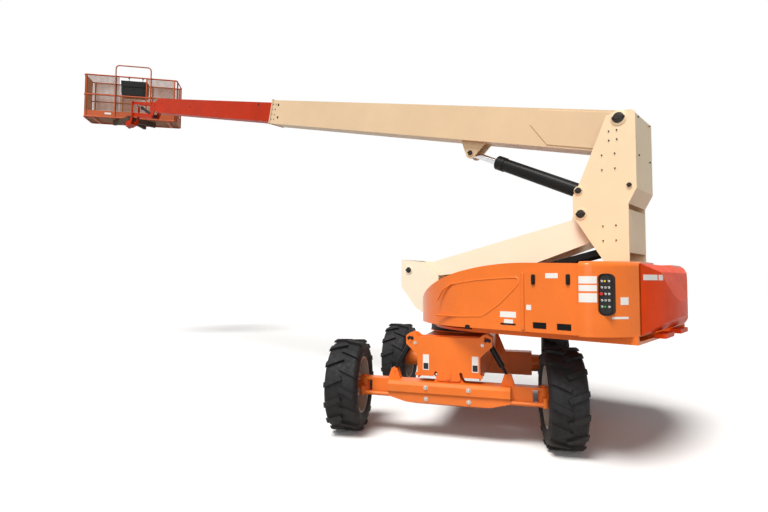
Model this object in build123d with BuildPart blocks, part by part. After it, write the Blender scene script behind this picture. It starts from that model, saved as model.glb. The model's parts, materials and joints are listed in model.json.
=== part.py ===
from build123d import *
from math import atan2, copysign, cos, hypot, radians, sin
import os

# Self-propelled articulating boom lift: a four-wheeled chassis, a turntable that swings on it,
# a folding tower that keeps its upright plumb, a telescopic main boom, a jib and a platform.
# Millimetres. Origin on the ground under the swing axis, +X across the chassis, +Y towards the
# drive axle, +Z up. The upper works stand swung round by SWING_REST. Along them, s runs forward
# from the swing axis, n runs to their left, and z is the height above the ground.

# ---- Chassis and wheels
WHEELBASE = 2010
TRACK = 2130
FIT = 0.3  # gap left between pieces that seat on each other
TYRE_R = 470
TYRE_W = 350
TREAD_DEPTH = 28
LUG_COUNT = 14  # on each side of the tread
LUG_T = 46
LUG_SKEW = 24
RIM_R = 290
RIM_W = 290
RIM_WALL = 14
HUB_R = 112
SPINDLE_R = 45
KINGPIN_X = TRACK / 2 - 165
KINGPIN_R = 28
AXLE_Z = TYRE_R
STEER_BEAM_H = 180
STEER_BEAM_D = 120
STEER_BEAM_END = KINGPIN_X - 100
STEER_WALL = 14
STEER_ARM = 125
STEER_LIMIT = 35
STEER_REST = 7  # degrees that the steer wheels stand turned by
TIE_ROD_R = 20
COVER_HALF = KINGPIN_X - 300
DRIVE_BEAM_HALF = TRACK / 2 - 295
DRIVE_BEAM_H = 300
DRIVE_BEAM_D = 200
FRAME_HALF = 313
FRAME_BOTTOM = 590
FRAME_TOP = 983
FRAME_WALL = 12
PIVOT_PLATE = 20
LOCK_TOP = (385, 963)  # x and z of the lock cylinders' pins
LOCK_LOW = (569, 640)
LOCK_PIN_R = 12
LOCK_BARREL_R = 28
LOCK_ROD_R = 14
LOCK_BARREL_L = 250
RING_R = 385
RING_TOP = 1063
RING_H = 70

# ---- Turntable
SWING_REST = 155.4
DECK_T = 25
DECK_Z = RING_TOP + FIT
DECK_TOP = DECK_Z + DECK_T
HOOD_BOTTOM = 1128
HOOD_TOP = 1728
HOOD_HALF = 1080
HOOD_INNER = 345
HOOD_WALL = 8
HOOD_NOSE_S = 215
DOOR_FRONT_S = -1320
DOOR_REAR_S = -1790
DOOR_TOP = 1653
POD_HALF = 1135
POD_REAR_S = -2160
TAIL_R = 2310  # swing radius of the tail
TAIL_SPREAD = 18  # degrees of it on each side
TAIL_BEND_R = 780
TAIL_BEND = 37
TAIL_CORNER_R = 127
SEAM = 8

# ---- Tower, in the side view: (s, z) of each pin with the tower at rest
PIN_TOWER = (-1620, 1263)
PIN_ELBOW_LOW = (360, 1373)
PIN_ELBOW_HIGH = (640, 1703)
PIN_RISER = (-1520, 2220)
PIN_BOOM = (-1880, 3090)
PIN_LIFT_BASE = (-1500, 2450)
LOW_LINK_SHIFT = (-140, 207)  # from a lower tower pin to the lower link's pin beside it
PIN_TOWER_CYL = (120, 1188)
TOWER_EYE_AT = 750  # along the lower tower from its pin
TOWER_BARREL_L = 850
TOWER_BARREL_R = 48
TOWER_ROD_R = 28
TOWER_PIN_R = 32
LOWER_TOWER_HALF = 110
LOWER_TOWER_H = 180
LINK_IN = 128
LINK_OUT = 148
LINK_H = 60
UPPER_TOWER_IN = 166
UPPER_TOWER_OUT = 180
UPSTAND_IN = 206
UPSTAND_OUT = 226
ELBOW_IN = 240
ELBOW_OUT = 256
UPRIGHT_IN = 266
UPRIGHT_OUT = 280

# ---- Main boom, in its own axes: x along the boom from its pivot, y square to it
BOOM_TILT = 14.8
BOOM_AXIS_Y = -100
BASE_LENGTH = 5870
BASE_H = 400
BASE_W = 290
BASE_WALL = 8
BASE_TAIL = 110
TAIL_CUT = 60  # corner taken off the boom's tail, so that it swings clear of the upright
FLY_OUT = 4750
FLY_LENGTH = 5750
FLY_H = 330
FLY_W = 225
FLY_WALL = 7
LUG_PIN = (1668, -435)
LUG_EYE_R = 46
LIFT_BARREL_R = 74
LIFT_BARREL_L = 1136
LIFT_ROD_R = 36
LIFT_PIN_R = 26

# ---- Jib and platform
HEAD_PIN_X = BASE_LENGTH + FLY_OUT + 200
JIB_RUN = 243  # the jib's two pins stand this far ahead of the levelling pin
JIB_DROP = 195  # the lower one this far below it
JIB_SPREAD = 300
JIB_LENGTH = 1220
ROTATOR_RUN = 340  # from the jib's outer pins
ROTATOR_DROP = 250
PLATFORM_TURN = -37
PLATFORM_L = 2360
PLATFORM_D = 640
PLATFORM_SHIFT = 60  # its middle lies this far to the left of the rotator
PLATFORM_H = 1170
PLATFORM_GAP = 195
RAIL_R = 19

# ---- Planes and small helpers
SWING = radians(SWING_REST)
AWAY = (sin(SWING), -cos(SWING), 0)
TILT = radians(BOOM_TILT)

# ---- Places that follow from the boom's reach
HEAD_PIN = (
    PIN_BOOM[0] + HEAD_PIN_X * cos(TILT) - BOOM_AXIS_Y * sin(TILT),
    PIN_BOOM[1] + HEAD_PIN_X * sin(TILT) + BOOM_AXIS_Y * cos(TILT),
)
JIB_LOW = (HEAD_PIN[0] + JIB_RUN, HEAD_PIN[1] - JIB_DROP)
JIB_END = (JIB_LOW[0] + JIB_LENGTH * cos(TILT), JIB_LOW[1] + JIB_LENGTH * sin(TILT))
ROTATOR_S = JIB_END[0] + ROTATOR_RUN
ROTATOR_Z = JIB_END[1] - ROTATOR_DROP
ROTATOR_TOP = ROTATOR_Z + 135
PLATFORM_Z = ROTATOR_TOP + 135


def place(s, n=0.0, z=0.0):
    """A point of the upper works, given along them, to their left and above the ground."""
    return Vector(s * cos(SWING) - n * sin(SWING), s * sin(SWING) + n * cos(SWING), z)


def side_plane(pin=(0, 0), tilt=0.0):
    """Side view of the upper works from a pin: x forward, y up, both turned up by tilt."""
    ahead = Vector(cos(SWING) * cos(tilt), sin(SWING) * cos(tilt), sin(tilt))
    return Plane(origin=place(pin[0], 0, pin[1]), x_dir=ahead, z_dir=AWAY)


def plan_plane(z, s=0.0, n=0.0, turn=0.0):
    """Plan view of the upper works: x forward and y left, turned by some degrees."""
    way = radians(SWING_REST + turn)
    return Plane(origin=place(s, n, z), x_dir=(cos(way), sin(way), 0), z_dir=(0, 0, 1))


def between(low, high, share):
    """The point some share of the way from one pin to another."""
    return (low[0] + (high[0] - low[0]) * share, low[1] + (high[1] - low[1]) * share)


def reach(low, high):
    """Distance between two pins and the slope of the line through them."""
    run = (high[0] - low[0], high[1] - low[1])
    return hypot(*run), atan2(run[1], run[0])


def around(pin, *offsets):
    """Points of a side view, each given from a pin."""
    return [(pin[0] + run, pin[1] + rise) for run, rise in offsets]


def steered(kingpin):
    """Place and turn of what the kingpin at this x carries."""
    return Location((kingpin, -WHEELBASE / 2, AXLE_Z), (0, 0, STEER_REST))


def save(piece, name):
    """Label a finished piece and write it as a STEP file."""
    piece.part.label = name
    export_step(piece.part, f"parts/{name}.step")


os.makedirs("parts", exist_ok=True)
BOOM = side_plane(PIN_BOOM, TILT)
SIDE = side_plane()


# ---- Wheels
def tyre_profile(radius, half):
    """Half section of the tyre: x across the tread, y out from the axle."""
    with BuildSketch(Plane.XY) as section:
        with BuildLine():
            Polyline((-half * 0.82, RIM_R), (half * 0.82, RIM_R))
            ThreePointArc((half * 0.82, RIM_R), (half, (RIM_R + radius) / 2), (half * 0.9, radius - 12))
            Line((half * 0.9, radius - 12), (half * 0.8, radius))
            Line((half * 0.8, radius), (-half * 0.8, radius))
            Line((-half * 0.8, radius), (-half * 0.9, radius - 12))
            ThreePointArc((-half * 0.9, radius - 12), (-half, (RIM_R + radius) / 2), (-half * 0.82, RIM_R))
        make_face()
    return section.sketch


with BuildPart() as tread_bars:
    for hand in (1, -1):
        for bar in range(LUG_COUNT):
            turn = 360 / LUG_COUNT * (bar + (0.5 if hand < 0 else 0))
            with Locations(Rotation(turn, 0, 0)):
                spot = (hand * TYRE_W * 0.245, 0, TYRE_R - TREAD_DEPTH - 6)
                with Locations(Location(spot, (0, 0, hand * LUG_SKEW))):
                    Box(TYRE_W * 0.62, LUG_T, 3 * TREAD_DEPTH, align=(Align.CENTER, Align.CENTER, Align.MIN))
with BuildPart() as tyre_body:
    add(tyre_profile(TYRE_R, TYRE_W / 2))
    revolve(axis=Axis.X)
    add(tread_bars.part, mode=Mode.INTERSECT)
    with BuildPart(mode=Mode.PRIVATE) as carcass:
        add(tyre_profile(TYRE_R - TREAD_DEPTH, TYRE_W / 2 - 6))
        revolve(axis=Axis.X)
    add(carcass.part)

# Rim, disc and hub, with the hub's bore open to the inside, which is at -x.
with BuildPart() as rim_body:
    with BuildSketch(Plane.XY):
        with BuildLine():
            Polyline(
                (-RIM_W / 2, RIM_R - RIM_WALL - FIT),
                (-RIM_W / 2, RIM_R - FIT),
                (RIM_W / 2, RIM_R - FIT),
                (RIM_W / 2, RIM_R - RIM_WALL - FIT),
                (RIM_W / 4, RIM_R - 3 * RIM_WALL),
                (RIM_W / 5, HUB_R + 60),
                (RIM_W / 3, HUB_R + 40),
                (RIM_W / 3, HUB_R),
                (RIM_W / 2.2, HUB_R - 15),
                (RIM_W / 2.2, 0),
                (RIM_W / 3, 0),
                (RIM_W / 3, SPINDLE_R + FIT),
                (-RIM_W / 3, SPINDLE_R + FIT),
                (-RIM_W / 3, HUB_R),
                (RIM_W / 4, HUB_R),
                (RIM_W / 4, HUB_R + 35),
                (RIM_W / 9, HUB_R + 55),
                (RIM_W / 6, RIM_R - 4 * RIM_WALL),
                (0, RIM_R - RIM_WALL - FIT),
                close=True,
            )
        make_face()
    revolve(axis=Axis.X)

# name, x and y of the wheel's centre
WHEELS = (
    ("steer_left", -TRACK / 2, -WHEELBASE / 2),
    ("steer_right", TRACK / 2, -WHEELBASE / 2),
    ("drive_left", -TRACK / 2, WHEELBASE / 2),
    ("drive_right", TRACK / 2, WHEELBASE / 2),
)
for wheel, wheel_x, wheel_y in WHEELS:
    facing = 0 if wheel_x > 0 else 180
    spot = Location((wheel_x, wheel_y, AXLE_Z), (0, 0, facing))
    if wheel_y < 0:
        kingpin = copysign(KINGPIN_X, wheel_x)
        spot = steered(kingpin) * Location((wheel_x - kingpin, 0, 0), (0, 0, facing))
    with BuildPart() as tyre:
        add(tyre_body.part.moved(spot))
    save(tyre, f"tyre_{wheel}")
    with BuildPart() as rim:
        add(rim_body.part.moved(spot))
    save(rim, f"rim_{wheel}")

# ---- Steer axle, knuckles and tie rod
STEER_Y = -WHEELBASE / 2
FORK_T = 25
FORK_GAP = STEER_BEAM_H - 2 * FORK_T
PIVOT_Z = AXLE_Z + STEER_BEAM_H / 2 + 60
PIVOT_R = 28
BEAM_TOP = AXLE_Z + STEER_BEAM_H / 2
LOCK_EYE_HALF = 20
with BuildPart() as steer_axle:
    with Locations((0, STEER_Y, AXLE_Z)):
        Box(2 * STEER_BEAM_END, STEER_BEAM_D, STEER_BEAM_H)
        Box(2 * STEER_BEAM_END - 2 * STEER_WALL, STEER_BEAM_D - 2 * STEER_WALL,
            STEER_BEAM_H - 2 * STEER_WALL, mode=Mode.SUBTRACT)
    for level in (-1, 1):
        fork_z = AXLE_Z + level * (STEER_BEAM_H - FORK_T) / 2
        with BuildSketch(Plane.XY.offset(fork_z)):
            for hand in (-1, 1):
                with Locations((hand * (STEER_BEAM_END + KINGPIN_X) / 2, STEER_Y)):
                    Rectangle(KINGPIN_X - STEER_BEAM_END, STEER_BEAM_D)
                with Locations((hand * KINGPIN_X, STEER_Y)):
                    Circle(STEER_BEAM_D / 2)
        extrude(amount=FORK_T / 2, both=True)
    # Saddle on the beam that turns on the chassis pivot pin.
    with BuildSketch(Plane.XZ.offset(-STEER_Y)):
        with BuildLine():
            Polyline((-150, BEAM_TOP - 1), (-60, PIVOT_Z + 55), (60, PIVOT_Z + 55), (150, BEAM_TOP - 1),
                     close=True)
        make_face()
    extrude(amount=STEER_BEAM_D / 2, both=True)
    with Locations(Location((0, STEER_Y, PIVOT_Z), (90, 0, 0))):
        Cylinder(PIVOT_R + FIT, 2 * STEER_BEAM_D, mode=Mode.SUBTRACT)
    # Brackets on the beam for the lock cylinders.
    with BuildSketch(Plane.XZ.offset(-STEER_Y)) as bracket:
        for hand in (-1, 1):
            with BuildLine():
                Polyline((hand * (LOCK_LOW[0] - 65), BEAM_TOP - 1),
                         (hand * (LOCK_LOW[0] - 30), LOCK_LOW[1] + 26),
                         (hand * (LOCK_LOW[0] + 30), LOCK_LOW[1] + 26),
                         (hand * (LOCK_LOW[0] + 65), BEAM_TOP - 1),
                         close=True)
            make_face()
    extrude(amount=LOCK_EYE_HALF + 18, both=True)
    with BuildSketch(Plane.XZ.offset(-STEER_Y)):
        for hand in (-1, 1):
            with Locations((hand * LOCK_LOW[0], BEAM_TOP + 100)):
                Rectangle(160, 200)
    extrude(amount=LOCK_EYE_HALF + 2, both=True, mode=Mode.SUBTRACT)
    with BuildSketch(Plane.XZ.offset(-STEER_Y)):
        with Locations((-LOCK_LOW[0], LOCK_LOW[1]), LOCK_LOW):
            Circle(LOCK_PIN_R)
    extrude(amount=LOCK_EYE_HALF + 26, both=True)
    # Kingpin holes.
    for hand in (-1, 1):
        with Locations((hand * KINGPIN_X, STEER_Y, AXLE_Z)):
            Cylinder(KINGPIN_R + FIT, 2 * STEER_BEAM_H, mode=Mode.SUBTRACT)
save(steer_axle, "steer_axle")

ARM_LOW = -30  # underside of the steering arms, from the axle
TIE_EYE_R = 26
COVER_FRONT = STEER_Y - STEER_ARM - 48
COVER_T = 8
BEAM_FRONT = STEER_Y - STEER_BEAM_D / 2 - FIT
with BuildPart() as axle_cover:
    with BuildSketch(Plane.YZ):
        with BuildLine():
            Polyline(
                (BEAM_FRONT, BEAM_TOP),
                (COVER_FRONT + 30, BEAM_TOP),
                (COVER_FRONT, BEAM_TOP - 30),
                (COVER_FRONT, AXLE_Z - 10),
                (COVER_FRONT + 20, AXLE_Z - 30),
                (COVER_FRONT + 20, AXLE_Z - 110),
                (BEAM_FRONT - 25, AXLE_Z - 135),
                (BEAM_FRONT - 25, AXLE_Z - 105),
                (COVER_FRONT + 20 + COVER_T, AXLE_Z - 90),
                (COVER_FRONT + 20 + COVER_T, AXLE_Z - 32),
                (COVER_FRONT + COVER_T, AXLE_Z - 12),
                (COVER_FRONT + COVER_T, BEAM_TOP - 30 - COVER_T),
                (COVER_FRONT + 30 + COVER_T, BEAM_TOP - COVER_T),
                (BEAM_FRONT, BEAM_TOP - COVER_T),
                close=True,
            )
        make_face()
    extrude(amount=COVER_HALF, both=True)
    # The lower edge rises towards both ends.
    with BuildSketch(Plane.XZ):
        with BuildLine():
            Polyline((-COVER_HALF - 10, AXLE_Z - 60), (-COVER_HALF / 2, AXLE_Z - 140),
                     (-COVER_HALF / 2, AXLE_Z - 300), (-COVER_HALF - 10, AXLE_Z - 300), close=True)
        make_face()
        mirror(about=Plane.YZ)
    extrude(amount=2 * WHEELBASE, mode=Mode.SUBTRACT)
save(axle_cover, "steer_axle_cover")

for side_name, hand in (("left", -1), ("right", 1)):
    # Made straight ahead about its kingpin, then put in its place.
    with BuildPart() as straight:
        Cylinder(52, FORK_GAP - 2 * FIT)
        Cylinder(KINGPIN_R, STEER_BEAM_H + 30)
        with Locations(Location((0, 0, 0), (0, hand * 90, 0))):
            Cylinder(SPINDLE_R, TRACK / 2 - KINGPIN_X + RIM_W / 3 - 5,
                     align=(Align.CENTER, Align.CENTER, Align.MIN))
        # The steering arm runs forward to the tie rod.
        with BuildSketch(Plane.XY.offset(ARM_LOW + FIT)):
            with Locations((0, -STEER_ARM / 2)):
                Rectangle(44, STEER_ARM)
            with Locations((0, -STEER_ARM)):
                Circle(TIE_EYE_R)
        extrude(amount=40)
    with BuildPart() as knuckle:
        add(straight.part.moved(steered(hand * KINGPIN_X)))
    save(knuckle, f"knuckle_{side_name}")

TIE_MID = (STEER_ARM * sin(radians(STEER_REST)), STEER_Y - STEER_ARM * cos(radians(STEER_REST)))
with BuildPart() as tie_rod:
    with Locations((TIE_MID[0], TIE_MID[1], AXLE_Z + ARM_LOW)):
        with Locations((-KINGPIN_X, 0), (KINGPIN_X, 0)):
            Cylinder(TIE_EYE_R, 2 * TIE_ROD_R + 8, align=(Align.CENTER, Align.CENTER, Align.MAX))
    with Locations(Location((TIE_MID[0], TIE_MID[1], AXLE_Z + ARM_LOW - 4 - TIE_ROD_R), (0, 90, 0))):
        Cylinder(TIE_ROD_R, 2 * KINGPIN_X - 20)
save(tie_rod, "tie_rod")

# ---- Drive axle
DRIVE_Y = WHEELBASE / 2
with BuildPart() as drive_axle:
    with Locations((0, DRIVE_Y, AXLE_Z)):
        Box(2 * DRIVE_BEAM_HALF, DRIVE_BEAM_D, DRIVE_BEAM_H)
        Box(2 * DRIVE_BEAM_HALF - 2 * FRAME_WALL, DRIVE_BEAM_D - 2 * FRAME_WALL,
            DRIVE_BEAM_H - 2 * FRAME_WALL, mode=Mode.SUBTRACT)
    for hand in (-1, 1):
        with Locations(Location((hand * DRIVE_BEAM_HALF, DRIVE_Y, AXLE_Z), (0, hand * 90, 0))):
            Cylinder(HUB_R, TRACK / 2 - DRIVE_BEAM_HALF - RIM_W / 3 - 6,
                     align=(Align.CENTER, Align.CENTER, Align.MIN))
            Cylinder(SPINDLE_R, TRACK / 2 - DRIVE_BEAM_HALF + RIM_W / 3 - 5,
                     align=(Align.CENTER, Align.CENTER, Align.MIN))
save(drive_axle, "drive_axle")

# ---- Chassis frame
# Two plates stand before and behind the steer axle and carry its pivot and the lock cylinders.
FRONT_PLATE_Y = -STEER_Y + STEER_BEAM_D / 2 + 7
BACK_PLATE_Y = -STEER_Y - STEER_BEAM_D / 2 - 7 - PIVOT_PLATE
EAR_HALF = LOCK_TOP[0] + 45
with BuildPart() as chassis:
    frame_rear = DRIVE_Y - DRIVE_BEAM_D / 2 - FIT
    frame_mid = (0, (frame_rear - FRONT_PLATE_Y) / 2)
    frame_length = frame_rear + FRONT_PLATE_Y
    with BuildSketch(Plane.XY.offset(FRAME_BOTTOM)):
        with Locations(frame_mid):
            Rectangle(2 * FRAME_HALF, frame_length)
    extrude(amount=FRAME_TOP - FRAME_BOTTOM)
    with BuildSketch(Plane.XY.offset(FRAME_BOTTOM - 1)):
        with Locations((0, frame_mid[1] - FRAME_WALL / 2)):
            Rectangle(2 * FRAME_HALF - 2 * FRAME_WALL, frame_length - FRAME_WALL)
    extrude(amount=FRAME_TOP - FRAME_BOTTOM - FRAME_WALL + 1, mode=Mode.SUBTRACT)
    # Ring drum under the swing bearing.
    with Locations((0, 0, FRAME_TOP)):
        Cylinder(RING_R + 10, RING_TOP - RING_H - FRAME_TOP, align=(Align.CENTER, Align.CENTER, Align.MIN))
    with Locations((0, 0, FRAME_TOP - FRAME_WALL - 1)):
        Cylinder(RING_R - 110, RING_TOP, align=(Align.CENTER, Align.CENTER, Align.MIN), mode=Mode.SUBTRACT)
    for plate_y in (FRONT_PLATE_Y, BACK_PLATE_Y):
        with BuildSketch(Plane.XZ.offset(plate_y)):
            with BuildLine():
                Polyline((0, FRAME_TOP + 22), (LOCK_TOP[0] - 85, FRAME_TOP + 22),
                         (LOCK_TOP[0] - 40, LOCK_TOP[1] + 75),
                         (LOCK_TOP[0], LOCK_TOP[1] + 80), (EAR_HALF, LOCK_TOP[1] + 50),
                         (EAR_HALF, LOCK_TOP[1] - 35),
                         (FRAME_HALF, LOCK_TOP[1] - 145), (FRAME_HALF, FRAME_BOTTOM + 60),
                         (FRAME_HALF + 22, FRAME_BOTTOM + 50), (FRAME_HALF + 22, FRAME_BOTTOM + 25),
                         (140, FRAME_BOTTOM + 25), (100, BEAM_TOP + 15), (0, BEAM_TOP + 15),
                         close=True)
            make_face()
            mirror(about=Plane.YZ)
            if plate_y == FRONT_PLATE_Y:
                for hand in (-1, 1):
                    with Locations(Location((hand * (LOCK_TOP[0] - 8), LOCK_TOP[1] + 40), -hand * 20)):
                        SlotOverall(54, 24, mode=Mode.SUBTRACT)
                    with Locations(Location((hand * 130, PIVOT_Z + 10), 90 + hand * 15)):
                        SlotOverall(70, 30, mode=Mode.SUBTRACT)
        extrude(amount=PIVOT_PLATE)
    # Pins through both plates.
    with BuildSketch(Plane.XZ.offset(BACK_PLATE_Y - 10)):
        with Locations((0, PIVOT_Z)):
            Circle(PIVOT_R)
        with Locations((-LOCK_TOP[0], LOCK_TOP[1]), LOCK_TOP):
            Circle(LOCK_PIN_R)
    extrude(amount=FRONT_PLATE_Y - BACK_PLATE_Y + PIVOT_PLATE + 22)
    # Rear cross plate against the drive axle.
    with BuildSketch(Plane.XZ.offset(-frame_rear)):
        with BuildLine():
            Polyline((0, FRAME_TOP - 60), (FRAME_HALF, FRAME_TOP - 60), (FRAME_HALF + 160, AXLE_Z + 60),
                     (FRAME_HALF + 160, AXLE_Z - 60), (0, AXLE_Z - 60), close=True)
        make_face()
        mirror(about=Plane.YZ)
    extrude(amount=FRAME_WALL)
save(chassis, "chassis_frame")

lock_run = (LOCK_LOW[0] - LOCK_TOP[0], LOCK_LOW[1] - LOCK_TOP[1])
lock_length = hypot(*lock_run)
for side_name, hand in (("left", -1), ("right", 1)):
    lock_origin = (hand * LOCK_TOP[0], STEER_Y, LOCK_TOP[1])
    lock_dir = (hand * lock_run[0], 0, lock_run[1])
    with BuildPart() as lock:
        with BuildSketch(Plane(origin=lock_origin, x_dir=(0, 1, 0), z_dir=lock_dir).offset(LOCK_PIN_R + 6)):
            Circle(LOCK_BARREL_R)
        extrude(amount=LOCK_BARREL_L)
        with BuildSketch(Plane(origin=lock_origin, x_dir=(0, 1, 0), z_dir=lock_dir).offset(LOCK_BARREL_L)):
            Circle(LOCK_ROD_R)
        extrude(amount=lock_length - LOCK_BARREL_L - LOCK_PIN_R - 2)
        with BuildSketch(Plane(origin=lock_origin, x_dir=lock_dir, z_dir=(0, -1, 0))):
            Circle(LOCK_BARREL_R - 2)
            with Locations((lock_length, 0)):
                Circle(LOCK_PIN_R + 10)
            with Locations((0, 0), (lock_length, 0)):
                Circle(LOCK_PIN_R + FIT, mode=Mode.SUBTRACT)
        extrude(amount=LOCK_EYE_HALF, both=True)
        with BuildSketch(Plane(origin=lock_origin, x_dir=lock_dir, z_dir=(0, -1, 0))):
            with Locations((0, 0), (lock_length, 0)):
                Circle(LOCK_PIN_R + FIT)
        extrude(amount=2 * LOCK_EYE_HALF, both=True, mode=Mode.SUBTRACT)
    save(lock, f"lock_cylinder_{side_name}")

with BuildPart() as bearing:
    with Locations((0, 0, RING_TOP - RING_H + FIT)):
        Cylinder(RING_R, RING_H - FIT, align=(Align.CENTER, Align.CENTER, Align.MIN))
        Cylinder(RING_R - 75, 3 * RING_H, mode=Mode.SUBTRACT)
save(bearing, "slew_bearing")

# ---- Turntable
PIN_LOW_LINK = (PIN_TOWER[0] + LOW_LINK_SHIFT[0], PIN_TOWER[1] + LOW_LINK_SHIFT[1])
PIN_ELBOW_LINK = (PIN_ELBOW_LOW[0] + LOW_LINK_SHIFT[0], PIN_ELBOW_LOW[1] + LOW_LINK_SHIFT[1])
PIN_UPRIGHT_LINK = (
    PIN_RISER[0] + PIN_ELBOW_LOW[0] - PIN_ELBOW_HIGH[0],
    PIN_RISER[1] + PIN_ELBOW_LOW[1] - PIN_ELBOW_HIGH[1],
)
DECK_FRONT = HOOD_NOSE_S - 30
DECK_HALF = HOOD_HALF - 220
DECK_REAR = 150 - TAIL_R
RAIL_W = 30
DECK_HOLE_R = 40
with BuildPart() as turntable:
    with BuildSketch(plan_plane(DECK_Z)):
        with BuildLine():
            Line((DECK_REAR, -DECK_HALF / 2), (POD_REAR_S, -DECK_HALF))
            Line((POD_REAR_S, -DECK_HALF), (-650, -DECK_HALF))
            ThreePointArc((-650, -DECK_HALF), (-60, -DECK_HALF * 0.72), (DECK_FRONT, -300))
            Line((DECK_FRONT, -300), (DECK_FRONT, 300))
            ThreePointArc((DECK_FRONT, 300), (-60, DECK_HALF * 0.72), (-650, DECK_HALF))
            Line((-650, DECK_HALF), (POD_REAR_S, DECK_HALF))
            Line((POD_REAR_S, DECK_HALF), (DECK_REAR, DECK_HALF / 2))
            Line((DECK_REAR, DECK_HALF / 2), (DECK_REAR, -DECK_HALF / 2))
        make_face()
        Circle(DECK_HOLE_R, mode=Mode.SUBTRACT)
    extrude(amount=DECK_T)
    # Rails under the hoods and the pods.
    with BuildSketch(plan_plane(DECK_TOP - 1)):
        for hand in (-1, 1):
            with Locations(((POD_REAR_S - 650) / 2, hand * (DECK_HALF - RAIL_W / 2))):
                Rectangle(-650 - POD_REAR_S, RAIL_W)
            with Locations(((POD_REAR_S + DECK_FRONT - 60) / 2, hand * (HOOD_INNER + RAIL_W / 2))):
                Rectangle(DECK_FRONT - 60 - POD_REAR_S, RAIL_W)
    extrude(amount=HOOD_BOTTOM - FIT - DECK_TOP + 1)
    # Twin plates that carry the tower's pins.
    with BuildSketch(SIDE) as upstand:
        with BuildLine():
            Polyline((PIN_TOWER[0] - 420, DECK_TOP - 1), (PIN_TOWER[0] + 320, DECK_TOP - 1),
                     (PIN_TOWER[0] + 90, PIN_TOWER[1] + 60),
                     (PIN_LOW_LINK[0] + 70, PIN_LOW_LINK[1] + 75),
                     (PIN_LOW_LINK[0] - 80, PIN_LOW_LINK[1] + 75),
                     close=True)
        make_face()
    extrude(amount=UPSTAND_OUT, both=True)
    extrude(upstand.sketch, amount=UPSTAND_IN, both=True, mode=Mode.SUBTRACT)
    for pin in (PIN_TOWER, PIN_LOW_LINK):
        with BuildSketch(side_plane(pin)):
            Circle(TOWER_PIN_R)
        extrude(amount=UPSTAND_OUT + 14, both=True)
    # Lugs for the tower cylinder's lower pin.
    with BuildSketch(side_plane(PIN_TOWER_CYL)) as foot:
        Circle(55)
        with Locations((-20, (DECK_TOP - PIN_TOWER_CYL[1]) / 2)):
            Rectangle(150, PIN_TOWER_CYL[1] - DECK_TOP)
    extrude(amount=75, both=True)
    extrude(foot.sketch, amount=TOWER_BARREL_R + 5, both=True, mode=Mode.SUBTRACT)
    with BuildSketch(side_plane(PIN_TOWER_CYL)):
        Circle(25)
    extrude(amount=80, both=True)
save(turntable, "turntable_deck")


def hood_plan(inset, hand):
    """Plan of a front hood: straight side, then swept round to the nose."""
    side = hand * (HOOD_HALF - inset)
    inner = hand * (HOOD_INNER + inset)
    nose = HOOD_NOSE_S - inset
    with BuildLine() as outline:
        Line((DOOR_REAR_S + inset, inner), (DOOR_REAR_S + inset, side))
        Line((DOOR_REAR_S + inset, side), (-620, side))
        ThreePointArc((-620, side), (-80, hand * (HOOD_HALF * 0.8 - inset)), (nose, hand * 480))
        Line((nose, hand * 480), (nose, inner))
        Line((nose, inner), (DOOR_REAR_S + inset, inner))
    return outline.line


def hood_side(inset):
    """Side view of a front hood: level door bay, then a long curve down to the nose."""
    floor = HOOD_BOTTOM + inset
    top = HOOD_TOP - inset
    nose = HOOD_NOSE_S - inset
    with BuildLine() as outline:
        Line((DOOR_REAR_S + inset, floor), (DOOR_REAR_S + inset, top - 15))
        Line((DOOR_REAR_S + inset, top - 15), (DOOR_FRONT_S, top))
        ThreePointArc((DOOR_FRONT_S, top), (-430, top - 130), (nose, top - 435))
        Line((nose, top - 435), (nose, floor + 40))
        Line((nose, floor + 40), (nose - 40, floor))
        Line((nose - 40, floor), (DOOR_REAR_S + inset, floor))
    return outline.line


BATTERY_S = -1180
BATTERY_L = 1130
BATTERY_W = 430
BATTERY_N = (HOOD_INNER + RAIL_W + DECK_HALF - RAIL_W) / 2
SIDES = (("near", 1), ("far", -1))
POD_LENGTH = DOOR_REAR_S - SEAM - POD_REAR_S
POD_WALL = 50
PANEL_MID = (-1985, HOOD_TOP - 265)
PANEL_W = 105
PANEL_H = 330
PANEL_DEEP = 155  # pocket for the control box, from the pod's flat side
PANEL_SUNK = 75  # the box's face stands this far inside the flat side


def tail_plan(inset):
    """Plan of the tail: straight sides, then corners, bends and an arc about the swing axis."""
    spread = radians(TAIL_SPREAD)
    rear = TAIL_R - inset
    side = POD_HALF - inset
    front = DOOR_REAR_S
    with BuildLine() as outline:
        for hand in (1, -1):
            meet = (-rear * cos(spread), hand * rear * sin(spread))
            heading = (sin(spread), hand * cos(spread))
            bend = JernArc(start=meet, tangent=heading, radius=TAIL_BEND_R - inset,
                           arc_size=-hand * TAIL_BEND)
            turn = 90 - TAIL_SPREAD - TAIL_BEND
            corner = JernArc(start=bend @ 1, tangent=bend % 1, radius=TAIL_CORNER_R - inset,
                             arc_size=-hand * turn)
            Line(corner @ 1, (front, (corner @ 1).Y))
            Line((front, (corner @ 1).Y), (front, 0))
        ThreePointArc((-rear * cos(spread), rear * sin(spread)), (-rear, 0),
                      (-rear * cos(spread), -rear * sin(spread)))
    return outline.line


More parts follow.
